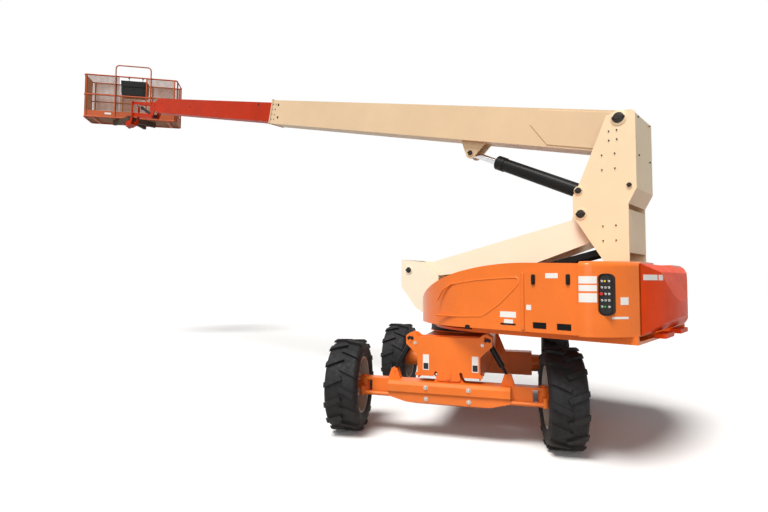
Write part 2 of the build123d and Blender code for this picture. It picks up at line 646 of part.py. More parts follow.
for side_name, hand in SIDES:
    with BuildPart() as hood:
        with BuildSketch(plan_plane(HOOD_BOTTOM - 10)):
            add(hood_plan(0, hand))
            make_face()
        extrude(amount=HOOD_TOP)
        with BuildSketch(SIDE):
            add(hood_side(0))
            make_face()
        extrude(amount=2 * HOOD_HALF, both=True, mode=Mode.INTERSECT)
        with BuildPart(mode=Mode.PRIVATE) as hollow:
            with BuildSketch(plan_plane(HOOD_BOTTOM - 10)):
                add(hood_plan(HOOD_WALL, hand))
                make_face()
            extrude(amount=HOOD_TOP)
            with BuildSketch(SIDE):
                add(hood_side(HOOD_WALL))
                make_face()
            extrude(amount=2 * HOOD_HALF, both=True, mode=Mode.INTERSECT)
        add(hollow.part, mode=Mode.SUBTRACT)
        # Opening in the floor, round the battery.
        with BuildSketch(plan_plane(HOOD_BOTTOM - 1)):
            with Locations((BATTERY_S, hand * BATTERY_N)):
                Rectangle(BATTERY_L + 20, BATTERY_W + 20)
        extrude(amount=2 * HOOD_WALL, mode=Mode.SUBTRACT)
        # Door opening in the outer wall.
        door_mid = ((DOOR_FRONT_S + DOOR_REAR_S) / 2, (HOOD_BOTTOM + DOOR_TOP) / 2)
        with BuildSketch(side_plane(door_mid).offset(-hand * (HOOD_HALF - 60))):
            Rectangle(DOOR_FRONT_S - DOOR_REAR_S - 2 * HOOD_WALL, DOOR_TOP - HOOD_BOTTOM - 60)
        extrude(amount=-hand * 100, mode=Mode.SUBTRACT)
    save(hood, f"hood_{side_name}")

    # Side door in the hood's opening, with its two louvre pockets and two latches.
    with BuildPart() as door:
        with BuildSketch(side_plane(door_mid).offset(-hand * (HOOD_HALF + FIT))):
            RectangleRounded(DOOR_FRONT_S - DOOR_REAR_S - 2, DOOR_TOP - HOOD_BOTTOM - 6, 20)
        extrude(amount=-hand * 16)
        with BuildSketch(side_plane(door_mid).offset(-hand * (HOOD_HALF + FIT + 16))):
            with Locations((-110, -200), (100, -200)):
                Rectangle(120, 55)
        extrude(amount=hand * 10, mode=Mode.SUBTRACT)
        with BuildSketch(side_plane(door_mid).offset(-hand * (HOOD_HALF + FIT + 16))):
            with Locations((-150, 190), (150, 190)):
                RectangleRounded(24, 80, 8)
        extrude(amount=-hand * 14)
    save(door, f"hood_door_{side_name}")

    # Rear pod beside the upright, rounded at its edges and open underneath.
    pod_mid = ((DOOR_REAR_S - SEAM + POD_REAR_S) / 2, hand * (HOOD_INNER + POD_HALF) / 2)
    with BuildPart() as pod:
        with BuildSketch(plan_plane(HOOD_BOTTOM)):
            with BuildLine():
                add(tail_plan(0))
            make_face()
            with Locations(pod_mid):
                Rectangle(POD_LENGTH, POD_HALF - HOOD_INNER, mode=Mode.INTERSECT)
        extrude(amount=HOOD_TOP - HOOD_BOTTOM)
        outward = Axis((0, 0, 0), tuple(place(0, hand)))
        fillet(pod.faces().sort_by(Axis.Z)[-1].edges().sort_by(outward)[-3:], 45)
        with BuildSketch(plan_plane(HOOD_BOTTOM - 6)):
            with BuildLine():
                add(tail_plan(POD_WALL))
            make_face()
            with Locations(pod_mid):
                Rectangle(POD_LENGTH - 2 * HOOD_WALL, POD_HALF - HOOD_INNER - 2 * HOOD_WALL,
                          mode=Mode.INTERSECT)
        extrude(amount=HOOD_TOP - HOOD_BOTTOM - 40, mode=Mode.SUBTRACT)
        # Floor plate with an opening.
        with BuildSketch(plan_plane(HOOD_BOTTOM)):
            with BuildLine():
                add(tail_plan(POD_WALL - 2))
            make_face()
            with Locations(pod_mid):
                Rectangle(POD_LENGTH - 2, POD_HALF - HOOD_INNER - 2, mode=Mode.INTERSECT)
            with Locations((pod_mid[0] + 20, hand * (HOOD_INNER + 260))):
                Rectangle(POD_LENGTH - 120, 400, mode=Mode.SUBTRACT)
        extrude(amount=HOOD_WALL)
        if hand > 0:
            with BuildSketch(side_plane(PANEL_MID).offset(-POD_HALF - 1)):
                RectangleRounded(PANEL_W, PANEL_H, 40)
            extrude(amount=PANEL_DEEP, mode=Mode.SUBTRACT)
    save(pod, f"rear_pod_{side_name}")

    # Battery pack on the deck inside the hood.
    with BuildPart() as battery:
        with BuildSketch(plan_plane(DECK_TOP + FIT)):
            with Locations((BATTERY_S, hand * BATTERY_N)):
                Rectangle(BATTERY_L, BATTERY_W)
        extrude(amount=440)
    save(battery, f"battery_{side_name}")

with BuildPart() as panel:
    with BuildSketch(side_plane(PANEL_MID).offset(-POD_HALF + PANEL_DEEP - 1 - FIT)):
        RectangleRounded(PANEL_W - 2 * FIT, PANEL_H - 2 * FIT, 39)
    extrude(amount=PANEL_SUNK - PANEL_DEEP)
save(panel, "ground_control_panel")

with BuildPart() as counterweight:
    with BuildSketch(plan_plane(DECK_TOP + FIT)):
        with BuildLine():
            add(tail_plan(0))
        make_face()
        with Locations(((POD_REAR_S - SEAM - TAIL_R) / 2 - 50, 0)):
            Rectangle(TAIL_R + POD_REAR_S - SEAM + 100, 2 * POD_HALF, mode=Mode.INTERSECT)
    extrude(amount=HOOD_TOP - DECK_TOP)
    # Side view: bevelled low at the rear, and rounded off to its top.
    with BuildSketch(SIDE):
        with BuildLine():
            Polyline((POD_REAR_S + 10, HOOD_BOTTOM), (150 - TAIL_R, HOOD_BOTTOM),
                     (-TAIL_R, HOOD_BOTTOM + 130),
                     (-TAIL_R, HOOD_BOTTOM + 260), (60 - TAIL_R, HOOD_TOP - 80), (POD_REAR_S + 10, HOOD_TOP),
                     close=True)
        make_face()
    extrude(amount=2 * POD_HALF, both=True, mode=Mode.INTERSECT)
    # Feet on the deck.
    with BuildSketch(plan_plane(DECK_TOP + FIT)):
        with Locations((POD_REAR_S - SEAM - 50, -DECK_HALF / 3), (POD_REAR_S - SEAM - 50, DECK_HALF / 3)):
            Rectangle(90, 300)
    extrude(amount=HOOD_BOTTOM - DECK_TOP)
save(counterweight, "counterweight")

# ---- Tower
LOWER_LENGTH, LOWER_SLOPE = reach(PIN_TOWER, PIN_ELBOW_LOW)
LOWER_R = LOWER_TOWER_H / 2
LOWER_WALL = 12
EYE_HALF = 28
with BuildPart() as lower_tower:
    with BuildSketch(side_plane(PIN_TOWER, LOWER_SLOPE)) as arm:
        with Locations((LOWER_LENGTH / 2, 0)):
            SlotCenterToCenter(LOWER_LENGTH, LOWER_TOWER_H)
        with Locations((0, 0), (LOWER_LENGTH, 0)):
            Circle(TOWER_PIN_R + FIT, mode=Mode.SUBTRACT)
    extrude(amount=LOWER_TOWER_HALF, both=True)
    # Open underneath between its two ends, for the tower cylinder.
    with BuildSketch(side_plane(PIN_TOWER, LOWER_SLOPE)):
        with Locations((LOWER_LENGTH / 2, -LOWER_WALL)):
            Rectangle(LOWER_LENGTH - 3 * LOWER_R, LOWER_TOWER_H)
    extrude(amount=LOWER_TOWER_HALF - LOWER_WALL, both=True, mode=Mode.SUBTRACT)
    # Stub pins for the tower cylinder's eye.
    for hand in (-1, 1):
        with BuildSketch(side_plane(PIN_TOWER, LOWER_SLOPE).offset(-hand * (EYE_HALF + 2))):
            with Locations((TOWER_EYE_AT, 0)):
                Circle(22)
        extrude(amount=-hand * (LOWER_TOWER_HALF - LOWER_WALL / 2 - EYE_HALF - 2))
save(lower_tower, "lower_tower")


def link_bar(low, high, inner, outer):
    """Link between two pins: a flat bar with an eye at each end, single or one on each side."""
    length, slope = reach(low, high)
    with BuildPart() as bar:
        with BuildSketch(side_plane(low, slope)) as strip:
            with Locations((length / 2, 0)):
                Rectangle(length, LINK_H)
            with Locations((0, 0), (length, 0)):
                Circle(TOWER_PIN_R + 18)
            with Locations((0, 0), (length, 0)):
                Circle(TOWER_PIN_R + FIT, mode=Mode.SUBTRACT)
        extrude(amount=outer, both=True)
        if inner > 0:
            extrude(strip.sketch, amount=inner, both=True, mode=Mode.SUBTRACT)
    return bar


save(link_bar(PIN_LOW_LINK, PIN_ELBOW_LINK, 0, EYE_HALF), "lower_timing_link")
save(link_bar(PIN_UPRIGHT_LINK, PIN_ELBOW_LOW, LINK_IN, LINK_OUT), "upper_timing_links")


def pin_through(pin, radius, half):
    """Solid round pin across the upper works."""
    with BuildPart() as rod:
        with BuildSketch(side_plane(pin)):
            Circle(radius)
        extrude(amount=half, both=True)
    return rod.part


def collars(pin, radius, inner, outer):
    """Pair of spacer collars, one on each side."""
    with BuildPart() as pair:
        with BuildSketch(side_plane(pin)) as ring:
            Circle(radius)
        extrude(amount=outer, both=True)
        extrude(ring.sketch, amount=inner, both=True, mode=Mode.SUBTRACT)
    return pair.part


with BuildPart() as elbow:
    with BuildSketch(SIDE) as cheek:
        with BuildLine():
            Polyline(*around(PIN_ELBOW_HIGH, (125, 132), (-210, 95), (-450, -90)),
                     *around(PIN_ELBOW_LOW, (-155, -10), (-70, -155), (70, -195), (180, -135)),
                     *around(PIN_ELBOW_HIGH, (125, -210)), close=True)
        make_face()
    extrude(amount=ELBOW_OUT, both=True)
    extrude(cheek.sketch, amount=ELBOW_IN, both=True, mode=Mode.SUBTRACT)
    # Front closing plate.
    with BuildSketch(SIDE):
        with Locations(around(PIN_ELBOW_HIGH, (119, -39))):
            Rectangle(12, 340)
    extrude(amount=ELBOW_IN + 1, both=True)
    add(pin_through(PIN_ELBOW_LOW, TOWER_PIN_R, ELBOW_OUT + 8))
    add(pin_through(PIN_ELBOW_HIGH, TOWER_PIN_R, ELBOW_OUT + 8))
    add(collars(PIN_ELBOW_HIGH, TOWER_PIN_R + 18, UPPER_TOWER_OUT + FIT, ELBOW_IN + 1))
    add(collars(PIN_ELBOW_LOW, TOWER_PIN_R + 18, LINK_OUT + FIT, ELBOW_IN + 1))
    # Inner arms that hang from the upper pin and carry the lower link's pin.
    arm_length, arm_slope = reach(PIN_ELBOW_LINK, PIN_ELBOW_HIGH)
    with BuildSketch(side_plane(PIN_ELBOW_LINK, arm_slope)) as inner_arm:
        with Locations((arm_length / 2, 0)):
            SlotCenterToCenter(arm_length, 2 * TOWER_PIN_R + 26)
    extrude(amount=EYE_HALF + 20, both=True)
    extrude(inner_arm.sketch, amount=EYE_HALF + FIT, both=True, mode=Mode.SUBTRACT)
    add(pin_through(PIN_ELBOW_LINK, TOWER_PIN_R, EYE_HALF + 26))
save(elbow, "tower_elbow")

with BuildPart() as upper_tower:
    with BuildSketch(SIDE) as web:
        with BuildLine():
            Polyline(*around(PIN_RISER, (-120, -252), (-120, 0), (-70, 80), (80, 75), (130, -43)),
                     *around(PIN_ELBOW_HIGH, (-320, 100), (0, 93), (75, 50), (75, -50), (0, -90),
                             (-340, -76)),
                     *around(PIN_RISER, (570, -482)), close=True)
        make_face()
        with Locations(PIN_RISER, PIN_ELBOW_HIGH):
            Circle(TOWER_PIN_R + FIT, mode=Mode.SUBTRACT)
    extrude(amount=UPPER_TOWER_OUT, both=True)
    extrude(web.sketch, amount=UPPER_TOWER_IN, both=True, mode=Mode.SUBTRACT)
    # Top plate and two diaphragms.
    with BuildSketch(SIDE):
        with BuildLine():
            Polyline(*around(PIN_RISER, (140, -45)),
                     *around(PIN_ELBOW_HIGH, (-320, 100), (-120, 96), (-120, 84), (-322, 88)),
                     *around(PIN_RISER, (140, -57)), close=True)
        make_face()
        with Locations(*around(PIN_RISER, (320, -190), (1220, -380))):
            Rectangle(10, 200)
    extrude(amount=UPPER_TOWER_IN + 1, both=True)
save(upper_tower, "upper_tower")

# ---- Upright
UPRIGHT_REAR = 12
UPPER_REAR = -142  # rear edge, from the boom's pin
KNEE_REAR = PIN_BOOM[0] + UPPER_REAR - PIN_RISER[0]
LOWER_REAR = -430  # rear edge of the lower half, from the riser's pin
BOOM_PIN_R = 42
with BuildPart() as upright:
    with BuildSketch(SIDE) as cheek:
        with BuildLine():
            Polyline(*around(PIN_BOOM, (110, 45), (0, 65), (UPPER_REAR + 35, 58), (UPPER_REAR, 30)),
                     *around(PIN_RISER, (KNEE_REAR, 195), (LOWER_REAR, 60), (LOWER_REAR, -567), (-270, -567),
                             (77, -16), (77, 185), (15, 290)), close=True)
        make_face()
    extrude(amount=UPRIGHT_OUT, both=True)
    extrude(cheek.sketch, amount=UPRIGHT_IN, both=True, mode=Mode.SUBTRACT)
    # Rear plate of the upper half, with its knee.
    with BuildSketch(SIDE):
        with BuildLine():
            Polyline(*around(PIN_BOOM, (UPPER_REAR, 20)),
                     *around(PIN_RISER, (KNEE_REAR, 195), (LOWER_REAR, 60), (LOWER_REAR + UPRIGHT_REAR, 66),
                             (KNEE_REAR + UPRIGHT_REAR, 198)),
                     *around(PIN_BOOM, (UPPER_REAR + UPRIGHT_REAR, 20)), close=True)
        make_face()
    extrude(amount=UPRIGHT_IN + 1, both=True)
    # Cross plate at the foot.
    with BuildSketch(SIDE):
        with Locations(around(PIN_RISER, (LOWER_REAR + 80, -561))):
            Rectangle(150, 12)
    extrude(amount=UPRIGHT_IN + 1, both=True)
    add(pin_through(PIN_BOOM, BOOM_PIN_R, UPRIGHT_OUT + 12))
    add(pin_through(PIN_RISER, TOWER_PIN_R, UPRIGHT_OUT + 10))
    add(pin_through(PIN_UPRIGHT_LINK, TOWER_PIN_R, UPRIGHT_OUT))
    add(pin_through(PIN_LIFT_BASE, LIFT_PIN_R, UPRIGHT_OUT + 8))
    add(collars(PIN_RISER, TOWER_PIN_R + 18, UPPER_TOWER_OUT + FIT, UPRIGHT_IN + 1))
    add(collars(PIN_UPRIGHT_LINK, TOWER_PIN_R + 14, LINK_OUT + FIT, UPRIGHT_IN + 1))
    add(collars(PIN_LIFT_BASE, LIFT_PIN_R + 18, LIFT_BARREL_R + FIT, UPRIGHT_IN + 1))
save(upright, "upright")

with BuildPart() as upright_cover:
    with BuildSketch(SIDE):
        with Locations(around(PIN_RISER, (LOWER_REAR + 5, -189))):
            Rectangle(6, 402)
    extrude(amount=UPRIGHT_IN - FIT, both=True)
save(upright_cover, "upright_rear_cover")

# ---- Main boom
with BuildPart() as base:
    with BuildSketch(BOOM) as walls:
        with BuildLine():
            Polyline((-BASE_TAIL + 40, BOOM_AXIS_Y + BASE_H / 2), (BASE_LENGTH, BOOM_AXIS_Y + BASE_H / 2),
                     (BASE_LENGTH, BOOM_AXIS_Y - BASE_H / 2), (-BASE_TAIL + 60, BOOM_AXIS_Y - BASE_H / 2),
                     (-BASE_TAIL, BOOM_AXIS_Y - BASE_H / 2 + 60), (-BASE_TAIL, BOOM_AXIS_Y + BASE_H / 2 - TAIL_CUT),
                     close=True)
        make_face()
    extrude(amount=BASE_W / 2, both=True)
    with BuildSketch(BOOM):
        with BuildLine():
            Polyline((120, BOOM_AXIS_Y + BASE_H / 2 - BASE_WALL),
                     (BASE_LENGTH + 1, BOOM_AXIS_Y + BASE_H / 2 - BASE_WALL),
                     (BASE_LENGTH + 1, BOOM_AXIS_Y - BASE_H / 2 + BASE_WALL),
                     (120, BOOM_AXIS_Y - BASE_H / 2 + BASE_WALL), close=True)
        make_face()
    extrude(amount=BASE_W / 2 - BASE_WALL, both=True, mode=Mode.SUBTRACT)
    with BuildSketch(BOOM):
        Circle(BOOM_PIN_R + 30)
    extrude(amount=UPRIGHT_IN - FIT, both=True)
    with BuildSketch(BOOM):
        Circle(BOOM_PIN_R + FIT)
    extrude(amount=UPRIGHT_IN, both=True, mode=Mode.SUBTRACT)
    # Ears under the boom for the lift cylinder's eye.
    boom_floor = BOOM_AXIS_Y - BASE_H / 2
    with BuildSketch(BOOM) as ear:
        with BuildLine():
            Polyline((LUG_PIN[0] - 170, boom_floor + 2), (LUG_PIN[0] + 170, boom_floor + 2),
                     (LUG_PIN[0] + 60, LUG_PIN[1] - 30), (LUG_PIN[0] - 60, LUG_PIN[1] - 30), close=True)
        make_face()
        with Locations(LUG_PIN):
            Circle(66)
    EAR_IN = 56
    EAR_OUT = 76
    extrude(amount=EAR_OUT, both=True)
    with BuildSketch(BOOM):
        with Locations((LUG_PIN[0], boom_floor - 200)):
            Rectangle(400, 400)
    extrude(amount=EAR_IN, both=True, mode=Mode.SUBTRACT)
    for hand in (-1, 1):
        with BuildSketch(BOOM.offset(-hand * (EYE_HALF + 22))):
            with Locations(LUG_PIN):
                Circle(LIFT_PIN_R)
        extrude(amount=-hand * (EAR_OUT + 8 - EYE_HALF - 22))
save(base, "boom_base")

pad_top = (BASE_H - 2 * BASE_WALL - FLY_H) / 2 - 2 * FIT
pad_side = (BASE_W - 2 * BASE_WALL - FLY_W) / 2 - 2 * FIT
with BuildPart() as pads:
    for level in (-1, 1):
        with BuildSketch(BOOM):
            with Locations((BASE_LENGTH - 90, BOOM_AXIS_Y + level * (FLY_H / 2 + FIT + pad_top / 2))):
                Rectangle(150, pad_top)
        extrude(amount=FLY_W / 2 - 20, both=True)
    for hand in (-1, 1):
        with BuildSketch(BOOM.offset(-hand * (FLY_W / 2 + FIT))):
            with Locations((BASE_LENGTH - 90, BOOM_AXIS_Y)):
                Rectangle(150, FLY_H - 60)
        extrude(amount=-hand * pad_side)
save(pads, "boom_wear_pads")

FLY_END = BASE_LENGTH + FLY_OUT
HEAD_PIN_R = 30
with BuildPart() as fly:
    with BuildSketch(BOOM):
        with Locations((FLY_END - FLY_LENGTH / 2, BOOM_AXIS_Y)):
            Rectangle(FLY_LENGTH, FLY_H)
    extrude(amount=FLY_W / 2, both=True)
    with BuildSketch(BOOM):
        with Locations((FLY_END - FLY_LENGTH / 2 - 20, BOOM_AXIS_Y)):
            Rectangle(FLY_LENGTH, FLY_H - 2 * FLY_WALL)
    extrude(amount=FLY_W / 2 - FLY_WALL, both=True, mode=Mode.SUBTRACT)
    # Nose cheeks for the levelling pin.
    with BuildSketch(BOOM) as nose:
        with BuildLine():
            Polyline((FLY_END - 1, BOOM_AXIS_Y + FLY_H / 2), (HEAD_PIN_X + 20, BOOM_AXIS_Y + 70),
                     (HEAD_PIN_X + 60, BOOM_AXIS_Y), (HEAD_PIN_X + 20, BOOM_AXIS_Y - 60),
                     (FLY_END - 1, BOOM_AXIS_Y - FLY_H / 2), close=True)
        make_face()
    extrude(amount=FLY_W / 2, both=True)
    extrude(nose.sketch, amount=FLY_W / 2 - 16, both=True, mode=Mode.SUBTRACT)
    with BuildSketch(BOOM):
        with Locations((HEAD_PIN_X, BOOM_AXIS_Y)):
            Circle(HEAD_PIN_R)
    extrude(amount=FLY_W / 2 + 8, both=True)
save(fly, "boom_fly")

# ---- Cylinders: barrel and rod, each with its eye
def barrel_and_rod(low, high, sizes, eye_half, pin_radii):
    """Cylinder between two pins; sizes holds the barrel's length and radius, the rod's and the eye's."""
    barrel_length, barrel_radius, rod_radius, eye_radius = sizes
    length, slope = reach(low, high)
    frame = side_plane(low, slope)
    across = Plane(origin=frame.origin, x_dir=frame.z_dir, z_dir=frame.x_dir)
    with BuildPart() as barrel:
        with BuildSketch(across.offset(eye_radius * 0.6)):
            Circle(barrel_radius)
        extrude(amount=barrel_length - eye_radius * 0.6)
        with BuildSketch(frame):
            Circle(eye_radius)
        extrude(amount=eye_half, both=True)
        with BuildSketch(frame):
            Circle(pin_radii[0] + FIT)
        extrude(amount=2 * barrel_radius, both=True, mode=Mode.SUBTRACT)
        with BuildSketch(across.offset(pin_radii[0] + 30)):
            Circle(rod_radius + FIT)
        extrude(amount=barrel_length, mode=Mode.SUBTRACT)
    with BuildPart() as rod:
        with BuildSketch(across.offset(length - barrel_length * 0.9 + 20)):
            Circle(rod_radius)
        extrude(amount=barrel_length * 0.9 - 20 - eye_radius * 0.6)
        with BuildSketch(frame):
            with Locations((length, 0)):
                Circle(eye_radius)
        extrude(amount=eye_half, both=True)
        if pin_radii[1] > 0:
            with BuildSketch(frame):
                with Locations((length, 0)):
                    Circle(pin_radii[1])
            extrude(amount=2 * barrel_radius, both=True, mode=Mode.SUBTRACT)
    return barrel, rod


LUG = (
    PIN_BOOM[0] + LUG_PIN[0] * cos(TILT) - LUG_PIN[1] * sin(TILT),
    PIN_BOOM[1] + LUG_PIN[0] * sin(TILT) + LUG_PIN[1] * cos(TILT),
)
lift_barrel, lift_rod = barrel_and_rod(
    PIN_LIFT_BASE, LUG, (LIFT_BARREL_L, LIFT_BARREL_R, LIFT_ROD_R, LUG_EYE_R), EYE_HALF + 20,
    (LIFT_PIN_R, LIFT_PIN_R),
)
save(lift_barrel, "lift_cylinder_barrel")
save(lift_rod, "lift_cylinder_rod")

TOWER_EYE = between(PIN_TOWER, PIN_ELBOW_LOW, TOWER_EYE_AT / LOWER_LENGTH)
tower_barrel, tower_rod = barrel_and_rod(
    PIN_TOWER_CYL, TOWER_EYE, (TOWER_BARREL_L, TOWER_BARREL_R, TOWER_ROD_R, 45), EYE_HALF - 4, (25, 22)
)
save(tower_barrel, "tower_cylinder_barrel")
save(tower_rod, "tower_cylinder_rod")

# ---- Jib: a parallelogram of twin bars between the levelled head and the platform support
CHEEK_IN = 70
CHEEK_OUT = 88
BAR_IN = 46
BAR_OUT = 64
JIB_PIN_R = 20
JIB_ARM_H = 94
JIB_LINK_H = 64
JIB_BARREL_L = 860
JIB_BARREL_R = 34
JIB_ROD_R = 20
STUB_IN = 37  # stub pins leave this much free on each side, for the cylinder's eyes
JIB_PINS = (JIB_LOW, (JIB_LOW[0], JIB_LOW[1] + JIB_SPREAD))
END_PINS = (JIB_END, (JIB_END[0], JIB_END[1] + JIB_SPREAD))
with BuildPart() as head:
    with BuildSketch(SIDE) as cheek:
        with BuildLine():
            Polyline(*around(HEAD_PIN, (-55, 30), (-60, -20), (-15, -65)),
                     *around(JIB_PINS[0], (-30, -55), (30, -55), (50, -20)),
                     *around(JIB_PINS[1], (50, 20), (20, 50), (-50, 50)),
                     *around(HEAD_PIN, (10, 70)), close=True)
        make_face()
        with Locations(HEAD_PIN):
            Circle(HEAD_PIN_R + FIT, mode=Mode.SUBTRACT)
    extrude(amount=CHEEK_OUT, both=True)
    extrude(cheek.sketch, amount=CHEEK_IN, both=True, mode=Mode.SUBTRACT)
    with BuildSketch(SIDE):
        with Locations(HEAD_PIN):
            Circle(HEAD_PIN_R + 22)
            Circle(HEAD_PIN_R + FIT, mode=Mode.SUBTRACT)
    extrude(amount=CHEEK_IN + 1, both=True)
    add(pin_through(JIB_PINS[0], JIB_PIN_R, CHEEK_OUT + 8))
    add(collars(JIB_PINS[1], JIB_PIN_R, STUB_IN, CHEEK_OUT + 8))
save(head, "jib_head")


def jib_bars(low, high, height, tie_side, tie_from, tie_to):
    """Pair of bars between two pins, tied together for a share of their top or bottom."""
    length, slope = reach(low, high)
    frame = side_plane(low, slope)
    with BuildPart() as bars:
        with BuildSketch(frame) as bar:
            with Locations((length / 2, 0)):
                SlotCenterToCenter(length, height)
            with Locations((0, 0), (length, 0)):
                Circle(JIB_PIN_R + FIT, mode=Mode.SUBTRACT)
        extrude(amount=BAR_OUT, both=True)
        extrude(bar.sketch, amount=BAR_IN, both=True, mode=Mode.SUBTRACT)
        with BuildSketch(frame):
            with Locations((length * (tie_from + tie_to) / 2, tie_side * (height / 2 - 3))):
                Rectangle(length * (tie_to - tie_from), 6)
        extrude(amount=BAR_IN + 1, both=True)
    return bars


save(jib_bars(JIB_PINS[0], END_PINS[0], JIB_ARM_H, -1, 0.2, 0.8), "jib_arm")
save(jib_bars(JIB_PINS[1], END_PINS[1], JIB_LINK_H, 1, 0.06, 0.2), "jib_link")

jib_barrel, jib_rod = barrel_and_rod(
    JIB_PINS[0], END_PINS[1], (JIB_BARREL_L, JIB_BARREL_R, JIB_ROD_R, 36), 32, (JIB_PIN_R, 0)
)
save(jib_barrel, "jib_cylinder_barrel")
save(jib_rod, "jib_cylinder_rod")

ROTATOR_R = 95
with BuildPart() as support:
    with BuildSketch(SIDE) as cheek:
        with BuildLine():
            Polyline(*around(END_PINS[1], (-45, 40), (40, 40)),
                     *around(END_PINS[0], (50, -20)), (JIB_END[0] + 130, ROTATOR_TOP - 10),
                     (ROTATOR_S - 60, ROTATOR_TOP - 10), (ROTATOR_S - 60, ROTATOR_Z),
                     (JIB_END[0] + 60, ROTATOR_Z),
                     *around(END_PINS[0], (-45, -60)), close=True)
        make_face()
    extrude(amount=CHEEK_OUT, both=True)
    extrude(cheek.sketch, amount=CHEEK_IN, both=True, mode=Mode.SUBTRACT)
    # Cross plates that tie the cheeks.
    with BuildSketch(SIDE):
        with Locations(((JIB_END[0] + ROTATOR_S) / 2 + 10, ROTATOR_Z + 10)):
            Rectangle(ROTATOR_RUN - 90, 20)
    extrude(amount=CHEEK_IN + 1, both=True)
    with BuildSketch(plan_plane(ROTATOR_Z, ROTATOR_S)):
        Circle(ROTATOR_R)
    extrude(amount=ROTATOR_TOP - ROTATOR_Z)
    # Stub pins, short of the cylinder's eye between them.
    for pin in END_PINS:
        add(collars(pin, JIB_PIN_R, STUB_IN, CHEEK_OUT + 8))
save(support, "platform_support")

# ---- Platform, in its own plan: x out from the rotator's axis, y to its left
def platform_plan(z):
    """Plan view of the platform at height z over the ground."""
    return plan_plane(z, ROTATOR_S, 0, PLATFORM_TURN)


def loop_plan(z):
    """The same plan from under the platform's own middle line."""
    frame = platform_plan(z)
    return Plane(origin=frame.from_local_coords((0, PLATFORM_SHIFT, 0)), x_dir=frame.x_dir, z_dir=(0, 0, 1))


MOUNT_Z = ROTATOR_TOP + FIT
BEARER_H = 28
FLOOR_Z = PLATFORM_Z + BEARER_H + FIT
FLOOR_T = 6
PLATFORM_X = PLATFORM_GAP + PLATFORM_D / 2
RAIL_TOP = PLATFORM_Z + PLATFORM_H - RAIL_R
RAIL_X = PLATFORM_D - 2 * RAIL_R  # the rails' loop, on the tubes' centre lines
RAIL_Y = PLATFORM_L - 2 * RAIL_R
CORNER_R = 60
MID_RAIL = PLATFORM_Z + 620
GATE_HALF = 230
GATE_X = PLATFORM_X
GATE_BOTTOM = PLATFORM_Z + 200
TOE_H = 170
TOE_T = 6
with BuildPart() as mount:
    with BuildSketch(platform_plan(MOUNT_Z)):
        Circle(ROTATOR_R)
        for arm_turn in (-52, -18, 18, 52):
            with Locations(Location((0, 0), arm_turn)):
                with Locations((330, 0)):
                    Rectangle(660, 70)
    extrude(amount=PLATFORM_Z - FIT - MOUNT_Z)
save(mount, "platform_mount")

with BuildPart() as floor:
    with BuildSketch(loop_plan(FLOOR_Z)):
        with Locations((PLATFORM_X, 0)):
            RectangleRounded(RAIL_X - 2 * RAIL_R - 4, RAIL_Y - 2 * RAIL_R - 4, CORNER_R - RAIL_R - 2)
    extrude(amount=FLOOR_T)
save(floor, "platform_floor")


def rail_loop(z):
    """Closed loop of tube round the platform."""
    with BuildPart() as tube:
        with BuildSketch(loop_plan(z), mode=Mode.PRIVATE) as loop:
            with Locations((PLATFORM_X, 0)):
                RectangleRounded(RAIL_X, RAIL_Y, CORNER_R)
        path = loop.sketch.face().outer_wire()
        with BuildSketch(Plane(origin=path @ 0, z_dir=path % 0)):
            Circle(RAIL_R)
        sweep(path=path)
    return tube.part


with BuildPart() as frame_tubes:
    for rail_z in (PLATFORM_Z + RAIL_R, MID_RAIL, RAIL_TOP):
        add(rail_loop(rail_z))
    # Toe board round the floor.
    with BuildSketch(loop_plan(PLATFORM_Z + RAIL_R)):
        with Locations((PLATFORM_X, 0)):
            RectangleRounded(RAIL_X + TOE_T, RAIL_Y + TOE_T, CORNER_R + TOE_T / 2)
            RectangleRounded(RAIL_X - TOE_T, RAIL_Y - TOE_T, CORNER_R - TOE_T / 2, mode=Mode.SUBTRACT)
    extrude(amount=TOE_H)
    # Bearers under the floor plate.
    with BuildSketch(loop_plan(PLATFORM_Z)):
        for share in (-0.4, -0.15, 0.15, 0.4):
            with Locations((PLATFORM_X, share * RAIL_Y)):
                Rectangle(RAIL_X, 60)
    extrude(amount=BEARER_H)
    # Way through the rails at the gate.
    with BuildSketch(loop_plan(GATE_BOTTOM)):
        with Locations((GATE_X, -RAIL_Y / 2)):
            Rectangle(2 * GATE_HALF, 4 * RAIL_R)
    extrude(amount=PLATFORM_H, mode=Mode.SUBTRACT)
    # Posts: two on each side of the corners, along the long sides and at the gate.
    with BuildSketch(loop_plan(PLATFORM_Z + RAIL_R)):
        for post_x in (-RAIL_X / 2, RAIL_X / 2):
            for post_y in (-RAIL_Y / 2 + CORNER_R, -RAIL_Y / 6, RAIL_Y / 6, RAIL_Y / 2 - CORNER_R):
                with Locations((PLATFORM_X + post_x, post_y)):
                    Circle(RAIL_R - 1)
        for post_x in (-GATE_HALF, GATE_HALF):
            with Locations((GATE_X + post_x, -RAIL_Y / 2)):
                Circle(RAIL_R - 1)
    extrude(amount=PLATFORM_H - 2 * RAIL_R)
save(frame_tubes, "platform_frame")

